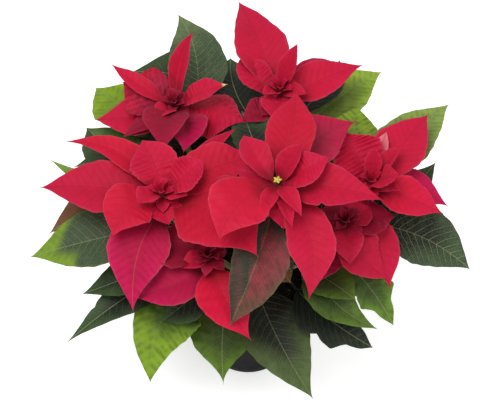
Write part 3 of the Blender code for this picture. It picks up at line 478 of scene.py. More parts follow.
def normal_at(blade, where):
    """The upper face's normal at a share of the blade's length."""
    points = blade.points().reshape(-1, POINTS_PER_STATION, 3)
    station = int(np.argmin(abs(blade.shares - where)))
    across = points[station, 2] - points[station, 0]
    ahead = points[min(station + 1, len(points) - 1), 1] - points[max(station - 1, 0), 1]
    return unit(np.cross(across, ahead))


def centre_at(blade, where):
    centres = blade.centres()
    return np.array([np.interp(where, blade.shares, centres[:, axis]) for axis in range(3)])


def clear_crossings(blades, fixed):
    """Bends blades of different nodes apart, a little each round, until no two of them meet."""
    settled = {}
    for _ in range(BEND_ROUNDS):
        shells = [blade.points(CLEARANCE) for blade in blades]
        trees = [tree_of(shell, blade.faces) for shell, blade in zip(shells, blades)]
        lows = np.array([shell.min(0) for shell in shells])
        highs = np.array([shell.max(0) for shell in shells])
        meeting = []
        for first, blade in enumerate(blades):
            near = (lows[first] < highs).all(1) & (lows < highs[first]).all(1)
            for second in np.flatnonzero(near[first + 1 :]) + first + 1:
                if blades[second].node == blade.node:
                    continue
                hits = trees[first].overlap(trees[second])
                if hits:
                    meeting.append((blade.name, blades[second].name))
                    separate(blade, blades[second], hits, settled)
            for node, path, tree in fixed:
                if node == blade.node:
                    continue
                hits = trees[first].overlap(tree)
                if hits:
                    meeting.append((blade.name, node))
                    slide_off(blade, path, hits)
        if not meeting:
            return
    raise RuntimeError(f"blades still meet: {meeting}")


def separate(first, second, hits, settled):
    """Bends two blades that meet apart, always to the side on which they first lay."""
    where_first = stations_hit(first, [hit[0] for hit in hits]).mean()
    where_second = stations_hit(second, [hit[1] for hit in hits]).mean()
    normal_first = normal_at(first, where_first)
    normal_second = normal_at(second, where_second)
    if normal_first @ normal_second < 0:
        normal_second = -normal_second
    way = unit(normal_first + normal_second)
    key = (first.name, second.name)
    if key not in settled:
        apart = (centre_at(first, where_first) - centre_at(second, where_second)) @ way
        settled[key] = way if apart >= 0 else -way
    if way @ settled[key] < 0:
        way = -way
    share = where_first / (where_first + where_second + 1e-6)
    push(first, where_first, way * BEND_STEP * share)
    push(second, where_second, -way * BEND_STEP * (1 - share))


def slide_off(blade, path, hits):
    """Moves a blade sideways off a shoot, a hub, the buds or the trunk that it meets."""
    where = stations_hit(blade, [hit[0] for hit in hits]).mean()
    centre = centre_at(blade, where)
    nearest = path[np.argmin(np.linalg.norm(path - centre, axis=1))]
    away = centre - nearest
    push(blade, where, unit(away) * BEND_STEP)


def hub_path(head):
    """Points along the short stalk that a head's bracts grow from."""
    top = head_top(head)
    foot = top - head_axis(head) * HUB_LENGTH
    return np.linspace(foot, top - head_axis(head) * MM, HUB_STATIONS)


def fixed_pieces(paths):
    """What the blades must clear: shoots, hubs and buds, as a node name, a path and a search tree."""
    pieces = []
    for head, path in paths.items():
        points, faces = tube(path, [STEM_RADIUS + CLEARANCE] * len(path), STEM_SIDES)
        pieces.append((f"leafy_stem_{head}", path, tree_of(points, faces)))
        hub = hub_path(head)
        points, faces = tube(hub, [HUB_RADIUS + CLEARANCE] * len(hub), STEM_SIDES)
        pieces.append((f"bracts_{head}", hub, tree_of(points, faces)))
    for head in BUD_HEADS:
        cluster = np.linspace(head_top(head), head_top(head) + head_axis(head) * 2 * BUD_HEIGHT, 3)
        reach = BUD_RING_RADIUS + BUD_RADIUS + CLEARANCE
        points, faces = tube(cluster, [BUD_BASE_RADIUS + CLEARANCE, reach, reach], STEM_SIDES)
        pieces.append((f"buds_{head}", cluster, tree_of(points, faces)))
    trunk = np.linspace((0, 0, SOIL_TOP), (0, 0, TRUNK_TOP), 6)
    points, faces = tube(trunk, [TRUNK_RADIUS + CLEARANCE] * len(trunk), STEM_SIDES)
    pieces.append(("trunk", trunk, tree_of(points, faces)))
    return pieces


# The photograph's view, from in front and above.
VIEW_ELEVATION = math.radians(54)
VIEW_DISTANCE = 1.35
VIEW_TARGET = Vector((0.002, 0.0, 0.240))
LENS = 107.0
SENSOR = 36.0

# Colours as screen values from 0 to 255: root, body, tip, edge and underside of each blade. The darker root colour is
# partly the tissue's own and partly painted shade, where the foot lies under other blades.
PALETTES = {
    "crimson": ((132, 8, 32), (180, 12, 50), (184, 14, 56), (214, 84, 104), (170, 34, 68)),
    "scarlet": ((142, 10, 30), (183, 12, 46), (186, 16, 52), (214, 80, 98), (174, 36, 66)),
    "magenta": ((120, 8, 36), (168, 10, 60), (180, 8, 72), (196, 100, 104), (160, 40, 72)),
    # Painted shade: a darker copy of the bract red, for bracts that lie in shadow under other bracts.
    "wine": ((84, 6, 24), (136, 10, 42), (150, 10, 50), (172, 70, 84), (150, 34, 64)),
    "back": ((140, 10, 40), (174, 34, 64), (190, 20, 54), (196, 58, 80), (180, 20, 54)),
    "ashen": ((130, 14, 40), (158, 30, 60), (176, 22, 62), (178, 70, 88), (160, 44, 70)),
    "blush": ((170, 40, 60), (206, 84, 100), (214, 110, 120), (214, 110, 120), (206, 84, 100)),
    # Partly the leaves' own dark green and partly painted shade: near-black roots and bodies for leaves that lie under
    # the heads.
    "dark": ((8, 10, 9), (19, 26, 20), (50, 70, 38), (68, 92, 44), (100, 118, 96)),
    "dusk": ((8, 10, 9), (20, 26, 21), (78, 98, 54), (86, 110, 52), (100, 118, 96)),
    # Painted shade: near-black leaves that stand in the shadowed gaps between the heads.
    "night": ((10, 12, 11), (19, 23, 21), (30, 38, 30), (40, 52, 34), (74, 88, 68)),
    "green": ((26, 38, 22), (56, 74, 32), (84, 112, 36), (96, 132, 44), (108, 126, 94)),
    "fresh": ((44, 60, 34), (76, 100, 42), (108, 142, 44), (124, 158, 52), (118, 136, 96)),
    "sunny": ((38, 56, 30), (94, 122, 34), (138, 162, 34), (156, 180, 66), (124, 146, 96)),
    "lime": ((38, 54, 26), (70, 96, 30), (118, 148, 26), (122, 154, 36), (124, 146, 96)),
    "tipped": ((30, 40, 32), (56, 72, 50), (112, 142, 30), (120, 152, 40), (116, 134, 96)),
    "bronze": ((40, 34, 30), (112, 34, 44), (84, 48, 42), (112, 98, 62), (122, 86, 80)),
    "slate": ((30, 42, 36), (56, 74, 52), (98, 118, 72), (112, 132, 84), (116, 134, 96)),
    "brown": ((62, 52, 30), (92, 66, 38), (108, 64, 34), (100, 92, 44), (108, 98, 70)),
}
# Each blade's palette. The darkest red palette and the near-black leaf palette are painted shade, for blades that lie
# under others.
LOOKS = {
    "a1": "scarlet", "a4": "crimson", "a12": "ashen", "a9": "scarlet",
    "b1": "crimson", "b2": "scarlet", "b6": "scarlet", "b7": "magenta", "b8": "scarlet", "b3": "scarlet",
    "c7": "wine", "c12": "wine", "c2b": "magenta",
    "d2": "back", "d9": "magenta", "d5": "wine", "d8": "wine",
    "e1": "crimson", "e4": "magenta", "e9": "wine", "e12": "blush", "f8": "wine",
    "f1": "crimson", "f3": "wine", "f6": "wine", "g2": "magenta", "g5": "wine", "g1": "scarlet",
    "l1": "tipped", "l2": "brown", "l3": "fresh", "l4": "dark", "l5": "dark", "l6": "lime", "l7": "dark",
    "l8": "slate", "l9": "dark", "l10": "dark", "l11": "fresh", "l12": "sunny", "l13": "fresh", "l14": "dark",
    "l15": "dark", "l16": "green", "l17": "green", "l18": "night", "l19": "dusk", "l20": "green",
    "l21": "dark", "l22": "lime", "l23": "dark", "l24": "dark", "l25": "bronze", "l27": "brown",
    "l28": "dark", "l29": "night",
    "n1": "night", "n2": "night", "n3": "night", "n4": "night", "n5": "night", "n6": "night", "n8": "night",
    "n10": "night", "n11": "night", "n13": "night", "n17": "green", "n14": "night",  "n9": "night",
}
# How much of the blade, from its tip, takes the tip's colour.
TIP_REACH = {"lime": 0.60, "tipped": 0.26, "fresh": 0.5, "bronze": 0.3, "dusk": 0.46, "sunny": 0.5}
USUAL_TIP_REACH = 0.35
# Where a sharper tip colour starts and ends along the blade, and how far it runs back along the rim.
SHARP_TIPS = {"l1": (0.58, 0.76, 0.08), "l22": (0.34, 0.70, 0.12), "l8": (0.50, 0.95, 0.0),
              "l11": (0.36, 0.86, 0.26)}
# Blades a little lighter, darker or bluer than their palette.
TINTED = {
    "l8": (0.95, 0.92, 0.95), "l15": (1.15, 1.0, 1.5), "l11": (1.6, 1.42, 0.95), "l12": (0.62, 0.68, 0.6), "l13": (1.3, 1.05, 1.9),
    "l25": (1.08, 1.4, 1.2), "g1": (1.1, 0.85, 1.1), "l20": (0.85, 0.9, 0.4), "l22": (0.8, 0.84, 0.5),
    "l19": (0.9, 0.85, 0.8), "l16": (1.05, 1.12, 0.9), "e3": (1.12, 1.0, 1.0), "a1": (0.92, 0.8, 0.88),
    "a4": (0.92, 0.8, 0.88), "d2": (0.7, 0.6, 0.7), "a12": (0.94, 0.9, 0.94),
}
# How strongly the tissue darkens along the side veins and in patches.
USUAL_BANDING = {"bract": 0.03, "small": 0.03}
LEAF_BANDING = 0.25
BANDED = {"l12": 0.6, "l11": 0.3, "l22": 0.38, "l20": 0.36, "l16": 0.36, "l17": 0.36, "l6": 0.26, "b7": 0.14,
          "l13": 0.28, "l1": 0.22, "l8": 0.3, "d2": 0.35, "a12": 0.12, "l25": 0.36}
# Ribs fainter than usual, under 1, or paler than usual, over 1.
RIBBED = {"l22": 0.2, "l25": 0.45, "b7": 1.3, "l12": 0.5, "l19": 0.65, "l21": 0.6, "l17": 0.7}
# Ripples across the ruffled bracts.
RUFFLED = {"e1": 0.15, "e11": 0.13, "b5": 0.12, "c5": 0.07, "b3u": 0.025, "c6": 0.09, "c7": 0.06, "d6": 0.06, "d7": 0.07,
           "b12": 0.09, "b4": 0.05, "a3": 0.04, "d8": 0.04}

RUFFLES_PER_BLADE = 13
# How much stronger than usual the side veins of a blade are.
VEINED = {"l8": 5.0, "l1": 3.2, "l15": 4.2, "l20": 1.3, "l14": 1.5, "l19": 1.1, "l18": 0.9, "l9": 0.6, "l25": 0.7,
          "l11": 3.4, "l12": 2.6, "l22": 1.2}
# Blades with another colour right of the rib.
HALVED = {"l25": (44, 38, 32), "l5": (72, 100, 46)}
# Dried tips: the share of the length at which they start, and their colour.
DRIED = {"d6": 0.90}
DRIED_COLOUR = (224, 200, 146)
# Blades that show one side wider than the other: how wide the left and the right side are.
LOPSIDED = {"l25": (1.05, 0.74), "l22": (1.0, 0.8)}
# Torn edges: which side, the share of the length and the depth.
NOTCHES = {"a4": (1, 0.40, 0.17), "e3": (0, 0.62, 0.05), "l21": (1, 0.6, 0.12), "l24": (1, 0.66, 0.14)}
NOTCH_LENGTH = 0.018

# Fine blades: stations along and points across, and the forms that the coarse blades leave out.
FINE = {"bract": (54, 12), "small": (34, 8), "leaf": (60, 13), "short": (50, 10), "pointed": (52, 9), "lobed": (60, 12)}
# Blades whose fine outline is fuller at the tip or the foot than their kind's.
FINE_FORMS = {"l22": {"narrow": 1.15, "foot": 0.5}, "l24": {"narrow": 1.8}, "l15": {"narrow": 1.25}}
STALK_STATIONS = 7
EDGE_STRIP = 0.965
SHEET_THICKNESS = 0.5 * MM
RIB_HEIGHT = 0.9 * MM
RIB_HALF_WIDTH = 0.8 * MM
RIB_ROUNDING = 0.012
CUP = 0.10
RIPPLE = 0.028
RIPPLES_PER_BLADE = 6.3
QUILT = 0.22 * MM
# How much deeper than usual the quilting between the side veins is.
QUILTED = {"d2": 5, "a12": 2, "e3": 1.5, "d7": 2, "c5": 2, "l22": 2.6, "l20": 2, "l18": 2, "l19": 1.5,
          "l17": 2, "l16": 2, "l11": 2, "l12": 2.6, "b7": 1.8, "c1": 1.4, "e4": 2}
VEIN_SPACING = 7.4
VEIN_SLANT = 0.62
VEIN_CURVE = 0.007
LEAST_TIP = 0.15 * MM


def srgb(colour):
    """Screen colour from 0 to 255 as linear light from 0 to 1."""
    share = np.array(colour) / 255
    return np.where(share <= 0.04045, share / 12.92, ((share + 0.055) / 1.055) ** 2.4)


def smooth(low, high, value):
    share = np.clip((value - low) / (high - low), 0, 1)
    return share * share * (3 - 2 * share)


def mix(first, second, share):
    return first + (second - first) * share[..., None]


def smooth_through(places, values, wanted):
    """A smooth curve through one value at each place, read at the wanted places."""
    slopes = np.gradient(values, places, axis=0)
    after = np.clip(np.searchsorted(places, wanted, side="right"), 1, len(places) - 1)
    before = after - 1
    width = places[after] - places[before]
    share = ((wanted - places[before]) / width)[:, None]
    width = width[:, None]
    return (
        (2 * share**3 - 3 * share**2 + 1) * values[before]
        + (share**3 - 2 * share**2 + share) * width * slopes[before]
        + (3 * share**2 - 2 * share**3) * values[after]
        + (share**3 - share**2) * width * slopes[after]
    )


class FineBlade:
    """A blade built finely on the settled line of its coarse form."""

    def __init__(self, blade):
        self.blade = blade
        self.rng = np.random.default_rng(sum(map(ord, blade.name)) * 31 + len(blade.name))
        stations, columns = FINE[blade.kind]
        if blade.name in RUFFLED:
            stations *= 2
        stalk = KINDS[blade.kind]["stalk"]
        foot = np.linspace(0, stalk, STALK_STATIONS)
        self.shares = np.concatenate([foot, stalk + (1 - stalk) * np.linspace(0, 1, stations)[1:]])
        self.along = np.clip((self.shares - stalk) / (1 - stalk), 0, 1)
        inner = np.linspace(0, EDGE_STRIP, columns)
        self.across = np.concatenate([[-1], -inner[:0:-1], inner, [1]])
        self.length = np.linalg.norm(blade.tip - blade.root)
        self.ring = 2 * len(self.across) - 2

    def half_widths(self):
        """Half widths of the left and of the right side, each a little uneven."""
        blade = self.blade
        form = {**KINDS[blade.kind], **FINE_FORMS.get(blade.name, {})}
        outline = blade_outline(form, blade.widest, self.along)
        if blade.kind == "lobed":
            steps = [0, *KINDS["lobed"]["steps"], 1]
            outline = outline * np.interp(self.along, steps, [1.0, *LOBES, 1.0])
        sides = []
        torn, notch_place, notch_depth = NOTCHES.get(blade.name, (0, 0, 0))
        for which, wider in enumerate(LOPSIDED.get(blade.name, (1, 1))):
            wander = 1 + 0.022 * np.sin(2 * math.pi * (2.6 * self.along + self.rng.uniform()))
            wander += 0.013 * np.sin(2 * math.pi * (8.5 * self.along + self.rng.uniform()))
            if which == torn:
                wander -= notch_depth * np.exp(-(((self.along - notch_place) / NOTCH_LENGTH) ** 2))
            half = blade.half_width * outline * wander * wider
            stalk = STALK_HALF_WIDTH * (1 - 0.35 * smooth(0, 0.3, self.shares))
            least = np.where(self.along > 0.5, LEAST_TIP, stalk * (1 - smooth(0.0, 0.12, self.along)) + LEAST_TIP)
            sides.append(np.maximum(half, least))
        return sides

    def frames(self):
        """Centre line, sideways and upper normal at each station."""
        blade = self.blade
        chord = blade.tip - blade.root
        right = unit(np.cross(chord, (0, 0, 1)))
        swell = (4 * self.shares * (1 - self.shares) * self.length)[:, None]
        rise = blade.arch * np.array([0, 0, 1]) + blade.bow * right
        centres = blade.root + chord * self.shares[:, None] + swell * rise
        centres = centres + smooth_through(blade.shares, blade.bend, self.shares)
        ahead = np.gradient(centres, axis=0)
        ahead /= np.linalg.norm(ahead, axis=1)[:, None]
        up = np.array([0, 0, 1]) - ahead * ahead[:, 2:3]
        up /= np.linalg.norm(up, axis=1)[:, None]
        side = np.cross(ahead, up)
        turn = (blade.roll * np.minimum(self.shares / TURN_SHARE, 1))[:, None]
        normal = up * np.cos(turn) + side * np.sin(turn)
        side = side * np.cos(turn) - up * np.sin(turn)
        return centres, side, normal

    def surface(self):
        """Ring by ring: points, and each point's distances along and across, edge share and face."""
        blade = self.blade
        centres, side, normal = self.frames()
        left, right = self.half_widths()
        t = self.across[None, :]
        half = np.where(t < 0, left[:, None], right[:, None])
        blade_share = smooth(0.0, 0.10, self.along)[:, None]
        fold = (blade.fold * np.minimum(self.shares / TURN_SHARE, 1))[:, None]
        out = t * half * np.cos(fold)
        raised = (np.sqrt(t**2 + RIB_ROUNDING) - math.sqrt(RIB_ROUNDING)) / (
            math.sqrt(1 + RIB_ROUNDING) - math.sqrt(RIB_ROUNDING)
        )
        lift = raised * half * np.sin(fold)
        lift = lift + CUP * half * (np.abs(t) - t**2)
        wave = KINDS[blade.kind]["wave"] * np.sin(2 * math.pi * WAVES_PER_BLADE * self.shares + blade.phase)
        lift = lift + np.sign(t) * np.abs(t) ** 1.6 * half * wave[:, None]
        for amount, count in ((RIPPLE, RIPPLES_PER_BLADE), (RUFFLED.get(blade.name, 0), RUFFLES_PER_BLADE)):
            starts = self.rng.uniform(0, 1, 2)
            start = np.where(t < 0, starts[0], starts[1])
            drift = np.sin(2 * math.pi * (1.7 * self.along[:, None] + 2 * start))
            ripple = np.sin(2 * math.pi * (count * self.along[:, None] + start + 0.35 * np.abs(t) + 0.3 * drift))
            strength = amount * (0.62 + 0.38 * np.sin(2 * math.pi * (1.3 * self.along[:, None] + 3 * start)))
            lift = lift + strength * half * np.abs(t) * (1.3 - np.abs(t) ** 3) * ripple
        s_mm = (self.along[:, None] * self.length * (1 - KINDS[blade.kind]["stalk"]) / MM) + 0 * t
        d_mm = t * half / MM
        run = (s_mm - VEIN_SLANT * np.abs(d_mm) - VEIN_CURVE * d_mm**2) / VEIN_SPACING
        depth = QUILT * QUILTED.get(blade.name, 1)
        quilt = depth * np.cos(2 * math.pi * run) * (1 - t**6) * smooth(0.05, 0.3, np.abs(t))
        lift = lift + quilt * blade_share
        thin = SHEET_THICKNESS / 2 * (1 - np.abs(t) ** 8)
        rib = RIB_HEIGHT * np.exp(-((t * half / RIB_HALF_WIDTH) ** 2)) * (1 - self.along[:, None]) ** 0.8
        round_stalk = STALK_THICKNESS / 2 * np.sqrt(np.clip(1 - t**2, 0, 1))
        upper = round_stalk + (thin - round_stalk) * blade_share
        lower = round_stalk + (thin + rib * (1 - t**2) - round_stalk) * blade_share
        top = centres[:, None] + side[:, None] * out[..., None] + normal[:, None] * (lift + upper)[..., None]
        low = centres[:, None] + side[:, None] * out[..., None] + normal[:, None] * (lift - lower)[..., None]
        points = np.concatenate([top, low[:, -2:0:-1]], axis=1)
        inner = slice(-2, 0, -1)
        place = np.stack([s_mm, d_mm, np.abs(t) + 0 * half], axis=-1)
        place = np.concatenate([place, place[:, inner]], axis=1)
        face = np.zeros(points.shape[:2])
        face[:, len(self.across) :] = 1
        return points, place, face

    def colours(self, place, face):
        """Colour of every point from the blade's palette."""
        name = self.blade.name
        usual = "crimson" if self.blade.kind in ("bract", "small") else "green"
        look = LOOKS.get(name, CRUMPLE_LOOKS.get(self.blade.head, usual) if name.startswith("crumple") else usual)
        root, body, tip, edge, under = (srgb(colour) for colour in PALETTES[look])
        along = self.along[:, None] + 0 * face
        rim = place[..., 2]
        uneven = 0.06 * np.sin(place[..., 0] / 9 + place[..., 1] / 7 + self.rng.uniform(0, 6))
        # Darker towards the foot: partly the tissue's own colour, partly painted shade where the foot lies under other
        # blades.
        colour = mix(root, body, smooth(0.0, 0.32, along + uneven))
        reach = TIP_REACH.get(look, USUAL_TIP_REACH)
        start, end, back = SHARP_TIPS.get(name, (1 - reach - 0.2, 1 - 0.2 * reach, 0.34))
        colour = mix(colour, tip, smooth(start, end, along + back * (rim - 0.3) + uneven))
        if name in HALVED:
            patchy = place[..., 1] + 2.5 * np.sin(place[..., 0] / 5) * np.sin(place[..., 1] / 4 + 1)
            other = mix(srgb(HALVED[name]), body, 0.12 + 0.12 * np.sin(place[..., 0] / 6 + place[..., 1] / 3))
            colour = mix(colour, other, smooth(-0.8, 0.8, patchy))
        if name in DRIED:
            colour = mix(colour, srgb(DRIED_COLOUR), smooth(DRIED[name] - 0.03, DRIED[name] + 0.03, along))
        colour = mix(colour, edge, 0.8 * smooth(0.955, 1.0, rim))
        colour = mix(colour, mix(under, colour, np.full(1, 0.35)), face)
        return colour * self.rng.uniform(0.94, 1.05) * np.array(TINTED.get(name, (1, 1, 1)))

    def mesh(self):
        """Points, faces, colours, places and strengths of the closed blade."""
        points, place, face = self.surface()
        colour = self.colours(place, face)
        rings = len(points)
        count = self.ring
        faces = []
        for ring in range(rings - 1):
            low = ring * count
            for step in range(count):
                following = (step + 1) % count
                faces.append((low + step, low + following, low + count + following, low + count + step))
        faces.append(tuple(range(count - 1, -1, -1)))
        top = (rings - 1) * count
        faces.append(tuple(top + step for step in range(count)))
        faces = [face_points[::-1] for face_points in faces]
        strength = np.zeros(points.shape)
        strength[..., 0] = smooth(0, 0.08, self.along)[:, None]
        strength[..., 1] = (smooth(0.02, 0.12, self.along) * (1 - smooth(0.9, 1, self.along)))[:, None]
        strength[..., 1] *= VEINED.get(self.blade.name, 1)
        strength[..., 0] *= RIBBED.get(self.blade.name, 1)
        usual = USUAL_BANDING.get(self.blade.kind, LEAF_BANDING)
        strength[..., 2] = BANDED.get(self.blade.name, usual)
        flat = (-1, 3)
        return points.reshape(flat), faces, colour.reshape(flat), place.reshape(flat), strength.reshape(flat)


class Gather:
    """Collects closed shapes into one mesh with its colours and places."""

    def __init__(self):
        self.points, self.faces, self.colours, self.places, self.strengths = [], [], [], [], []
        self.count = 0

    def add(self, points, faces, colours, places=None, strengths=None):
        blank = np.zeros((len(points), 3))
        self.points.append(np.array(points))
        self.faces += [tuple(corner + self.count for corner in face) for face in faces]
        self.colours.append(np.broadcast_to(colours, (len(points), 3)))
        self.places.append(blank if places is None else places)
        self.strengths.append(blank if strengths is None else strengths)
        self.count += len(points)

    def build(self, name, surface):
        mesh = bpy.data.meshes.new(name)
        points = np.concatenate(self.points)
        mesh.from_pydata(points.tolist(), [], self.faces)
        mesh.update()
        colours = np.concatenate([np.concatenate(self.colours), np.ones((len(points), 1))], axis=1)
        tint = mesh.attributes.new("tint", "FLOAT_COLOR", "POINT")
        tint.data.foreach_set("color", colours.ravel())
        for label, rows in (("place", self.places), ("strength", self.strengths)):
            layer = mesh.attributes.new(label, "FLOAT_VECTOR", "POINT")
            layer.data.foreach_set("vector", np.concatenate(rows).ravel())
        mesh.polygons.foreach_set("use_smooth", [True] * len(mesh.polygons))
        mesh.materials.append(surface)
        made = bpy.data.objects.new(name, mesh)
        bpy.context.scene.collection.objects.link(made)
        return made


class Nodes:
    """Short names for building a material's nodes."""

    def __init__(self, name):
        self.material = bpy.data.materials.new(name)
        self.material.use_nodes = True
        self.tree = self.material.node_tree
        self.shader = self.tree.nodes["Principled BSDF"]

    def set(self, **values):
        for label, value in values.items():
            self.shader.inputs[label.replace("_", " ")].default_value = value

    def link(self, value, socket):
        if hasattr(value, "links"):
            self.tree.links.new(value, socket)
        else:
            socket.default_value = value

    def math(self, operation, *values):
        node = self.tree.nodes.new("ShaderNodeMath")
        node.operation = operation
        for value, socket in zip(values, node.inputs):
            self.link(value, socket)
        return node.outputs[0]

    def attribute(self, name):
        node = self.tree.nodes.new("ShaderNodeAttribute")
        node.attribute_name = name
        return node

    def split(self, vector):
        node = self.tree.nodes.new("ShaderNodeSeparateXYZ")
        self.link(vector, node.inputs[0])
        return node.outputs

    def fade(self, value, low, high):
        """1 at low or under, 0 at high or over, with a soft step between."""
        node = self.tree.nodes.new("ShaderNodeMapRange")
        node.interpolation_type = "SMOOTHSTEP"
        self.link(value, node.inputs["Value"])
        self.link(low, node.inputs["From Min"])
        self.link(high, node.inputs["From Max"])
        node.inputs["To Min"].default_value = 1
        node.inputs["To Max"].default_value = 0
        return node.outputs["Result"]

    def noise(self, scale, detail=3.0, vector=None, kind="ShaderNodeTexNoise"):
        node = self.tree.nodes.new(kind)
        node.inputs["Scale"].default_value = scale
        if "Detail" in node.inputs:
            node.inputs["Detail"].default_value = detail
        if vector is None:
            vector = self.tree.nodes.new("ShaderNodeTexCoord").outputs["Object"]
        self.link(vector, node.inputs["Vector"])
        return node

    def mix_colour(self, share, first, second, blend="MIX"):
        node = self.tree.nodes.new("ShaderNodeMix")
        node.data_type = "RGBA"
        node.blend_type = blend
        self.link(share, node.inputs["Factor"])
        self.link(first, node.inputs[6])
        self.link(second, node.inputs[7])
        return node.outputs[2]

    def bump(self, height, strength, distance, under=None):
        node = self.tree.nodes.new("ShaderNodeBump")
        node.inputs["Strength"].default_value = strength
        node.inputs["Distance"].default_value = distance
        self.link(height, node.inputs["Height"])
        if under is not None:
            self.link(under, node.inputs["Normal"])
        return node.outputs["Normal"]


PALE_RIB = (214, 176, 140)


def blade_material(name, rib_colour, vein_colour, rib_share, vein_share, net_share, roughness, sheen, shine):
    """Leaf tissue: the blade's own tint with its rib, side veins and fine net, each also in relief."""
    n = Nodes(name)
    place = n.split(n.attribute("place").outputs["Vector"])
    strength = n.split(n.attribute("strength").outputs["Vector"])
    tint = n.attribute("tint").outputs["Color"]
    off = n.math("ABSOLUTE", place[1])
    slant = n.math("MULTIPLY", off, VEIN_SLANT)
    curve = n.math("MULTIPLY", n.math("MULTIPLY", off, off), VEIN_CURVE)
    run = n.math("SUBTRACT", n.math("SUBTRACT", place[0], slant), curve)
    wander = n.math("MULTIPLY", n.noise(0.09, 1.0, n.attribute("place").outputs["Vector"]).outputs[0], 2.2)
    phase = n.math("FRACT", n.math("DIVIDE", n.math("ADD", run, wander), VEIN_SPACING))
    reach = n.math("MULTIPLY", n.math("ABSOLUTE", n.math("SUBTRACT", phase, 0.5)), VEIN_SPACING)
    width = n.math("SUBTRACT", 0.50, n.math("MULTIPLY", place[2], 0.32))
    side = n.math("MULTIPLY", n.fade(reach, 0.05, width), strength[1])
    paler = n.math("MAXIMUM", n.math("SUBTRACT", strength[0], 1.0), 0.0)
    rib = n.math("MULTIPLY", n.fade(off, 0.10, 0.62), n.math("MINIMUM", strength[0], 1.0))
    patches = n.noise(0.13, 2.0, n.attribute("place").outputs["Vector"]).outputs[0]
    broken = n.math("SUBTRACT", 1.15, n.fade(patches, 0.38, 0.62))
    banding = n.math("MULTIPLY", n.fade(reach, 0.0, 3.7), n.math("MULTIPLY", broken, 0.8))
    banding = n.math("ADD", banding, n.math("MULTIPLY", n.math("SUBTRACT", patches, 0.5), 1.6))
    banding = n.math("ADD", 1.0, n.math("MULTIPLY", n.math("SUBTRACT", 0.45, banding), strength[2]))
    net = n.noise(0.42, 2.0, n.attribute("place").outputs["Vector"], "ShaderNodeTexVoronoi")
    net.feature = "DISTANCE_TO_EDGE"
    mesh_lines = n.math("MULTIPLY", n.fade(net.outputs["Distance"], 0.0, 0.10), strength[1])
    cloud = n.noise(34, 4.0).outputs[0]
    mottle = n.noise(150, 3.0).outputs[0]
    shade = n.math("ADD", 0.74, n.math("ADD", n.math("MULTIPLY", cloud, 0.30), n.math("MULTIPLY", mottle, 0.22)))
    shade = n.math("MULTIPLY", shade, banding)
    grey = n.tree.nodes.new("ShaderNodeCombineXYZ")
    for socket in grey.inputs:
        n.link(shade, socket)
    colour = n.mix_colour(1.0, tint, grey.outputs[0], "MULTIPLY")
    colour = n.mix_colour(n.math("MULTIPLY", mesh_lines, net_share), colour, (*srgb(vein_colour), 1))
    colour = n.mix_colour(n.math("MULTIPLY", side, vein_share), colour, (*srgb(vein_colour), 1))
    rib_tint = n.mix_colour(paler, (*srgb(rib_colour), 1), (*srgb(PALE_RIB), 1))
    colour = n.mix_colour(n.math("MULTIPLY", rib, rib_share), colour, rib_tint)
    n.link(colour, n.shader.inputs["Base Color"])
    sunk = n.math("MULTIPLY", n.math("ADD", n.math("MULTIPLY", side, 0.9), rib), -1.0)
    sunk = n.math("ADD", sunk, n.math("MULTIPLY", mesh_lines, -0.35))
    sunk = n.math("ADD", sunk, n.math("MULTIPLY", n.noise(420, 3.0).outputs[0], 0.35))
    n.link(n.bump(sunk, 0.55, 0.35 * MM), n.shader.inputs["Normal"])
    rough = n.math("ADD", roughness - 0.08, n.math("MULTIPLY", n.noise(120, 2.0).outputs[0], 0.16))
    n.link(rough, n.shader.inputs["Roughness"])
    n.set(Sheen_Weight=sheen, Sheen_Roughness=0.5, Specular_IOR_Level=shine)
    n.shader.inputs["Sheen Tint"].default_value = (1.0, 0.72, 0.76, 1)
    return n.material


def plastic_material():
    n = Nodes("black_plastic")
    fleck = n.noise(160, 4.0).outputs[0]
    colour = n.mix_colour(fleck, (*srgb((3, 3, 5)), 1), (*srgb((9, 9, 12)), 1))
    n.link(colour, n.shader.inputs["Base Color"])
    rough = n.math("ADD", 0.42, n.math("MULTIPLY", n.noise(60, 3.0).outputs[0], 0.2))
    n.link(rough, n.shader.inputs["Roughness"])
    n.set(Specular_IOR_Level=0.05)
    n.link(n.bump(n.noise(900, 2.0).outputs[0], 0.25, 0.1 * MM), n.shader.inputs["Normal"])
    return n.material


def peat_material():
    n = Nodes("peat")
    cloud = n.noise(90, 6.0).outputs[0]
    tint = n.attribute("tint").outputs["Color"]
    shade = n.tree.nodes.new("ShaderNodeCombineXYZ")
    for socket in shade.inputs:
        n.link(n.math("ADD", 0.5, cloud), socket)
    n.link(n.mix_colour(1.0, tint, shade.outputs[0], "MULTIPLY"), n.shader.inputs["Base Color"])
    n.set(Roughness=0.95, Specular_IOR_Level=0.2)
    n.link(n.bump(n.noise(700, 6.0).outputs[0], 0.9, 0.6 * MM), n.shader.inputs["Normal"])
    return n.material


def bark_material():
    n = Nodes("bark")
    tint = n.attribute("tint").outputs["Color"]
    streak = n.noise(110, 5.0).outputs[0]
    colour = n.mix_colour(n.math("MULTIPLY", streak, 0.8), tint, (*srgb((86, 66, 44)), 1))
    n.link(colour, n.shader.inputs["Base Color"])
    n.set(Roughness=0.8)
    n.link(n.bump(streak, 0.6, 0.5 * MM), n.shader.inputs["Normal"])
    return n.material


def bud_material():
    n = Nodes("bud")
    n.link(n.attribute("tint").outputs["Color"], n.shader.inputs["Base Color"])
    n.set(Roughness=0.42)
    n.link(n.bump(n.noise(1500, 3.0).outputs[0], 0.2, 0.1 * MM), n.shader.inputs["Normal"])
    return n.material


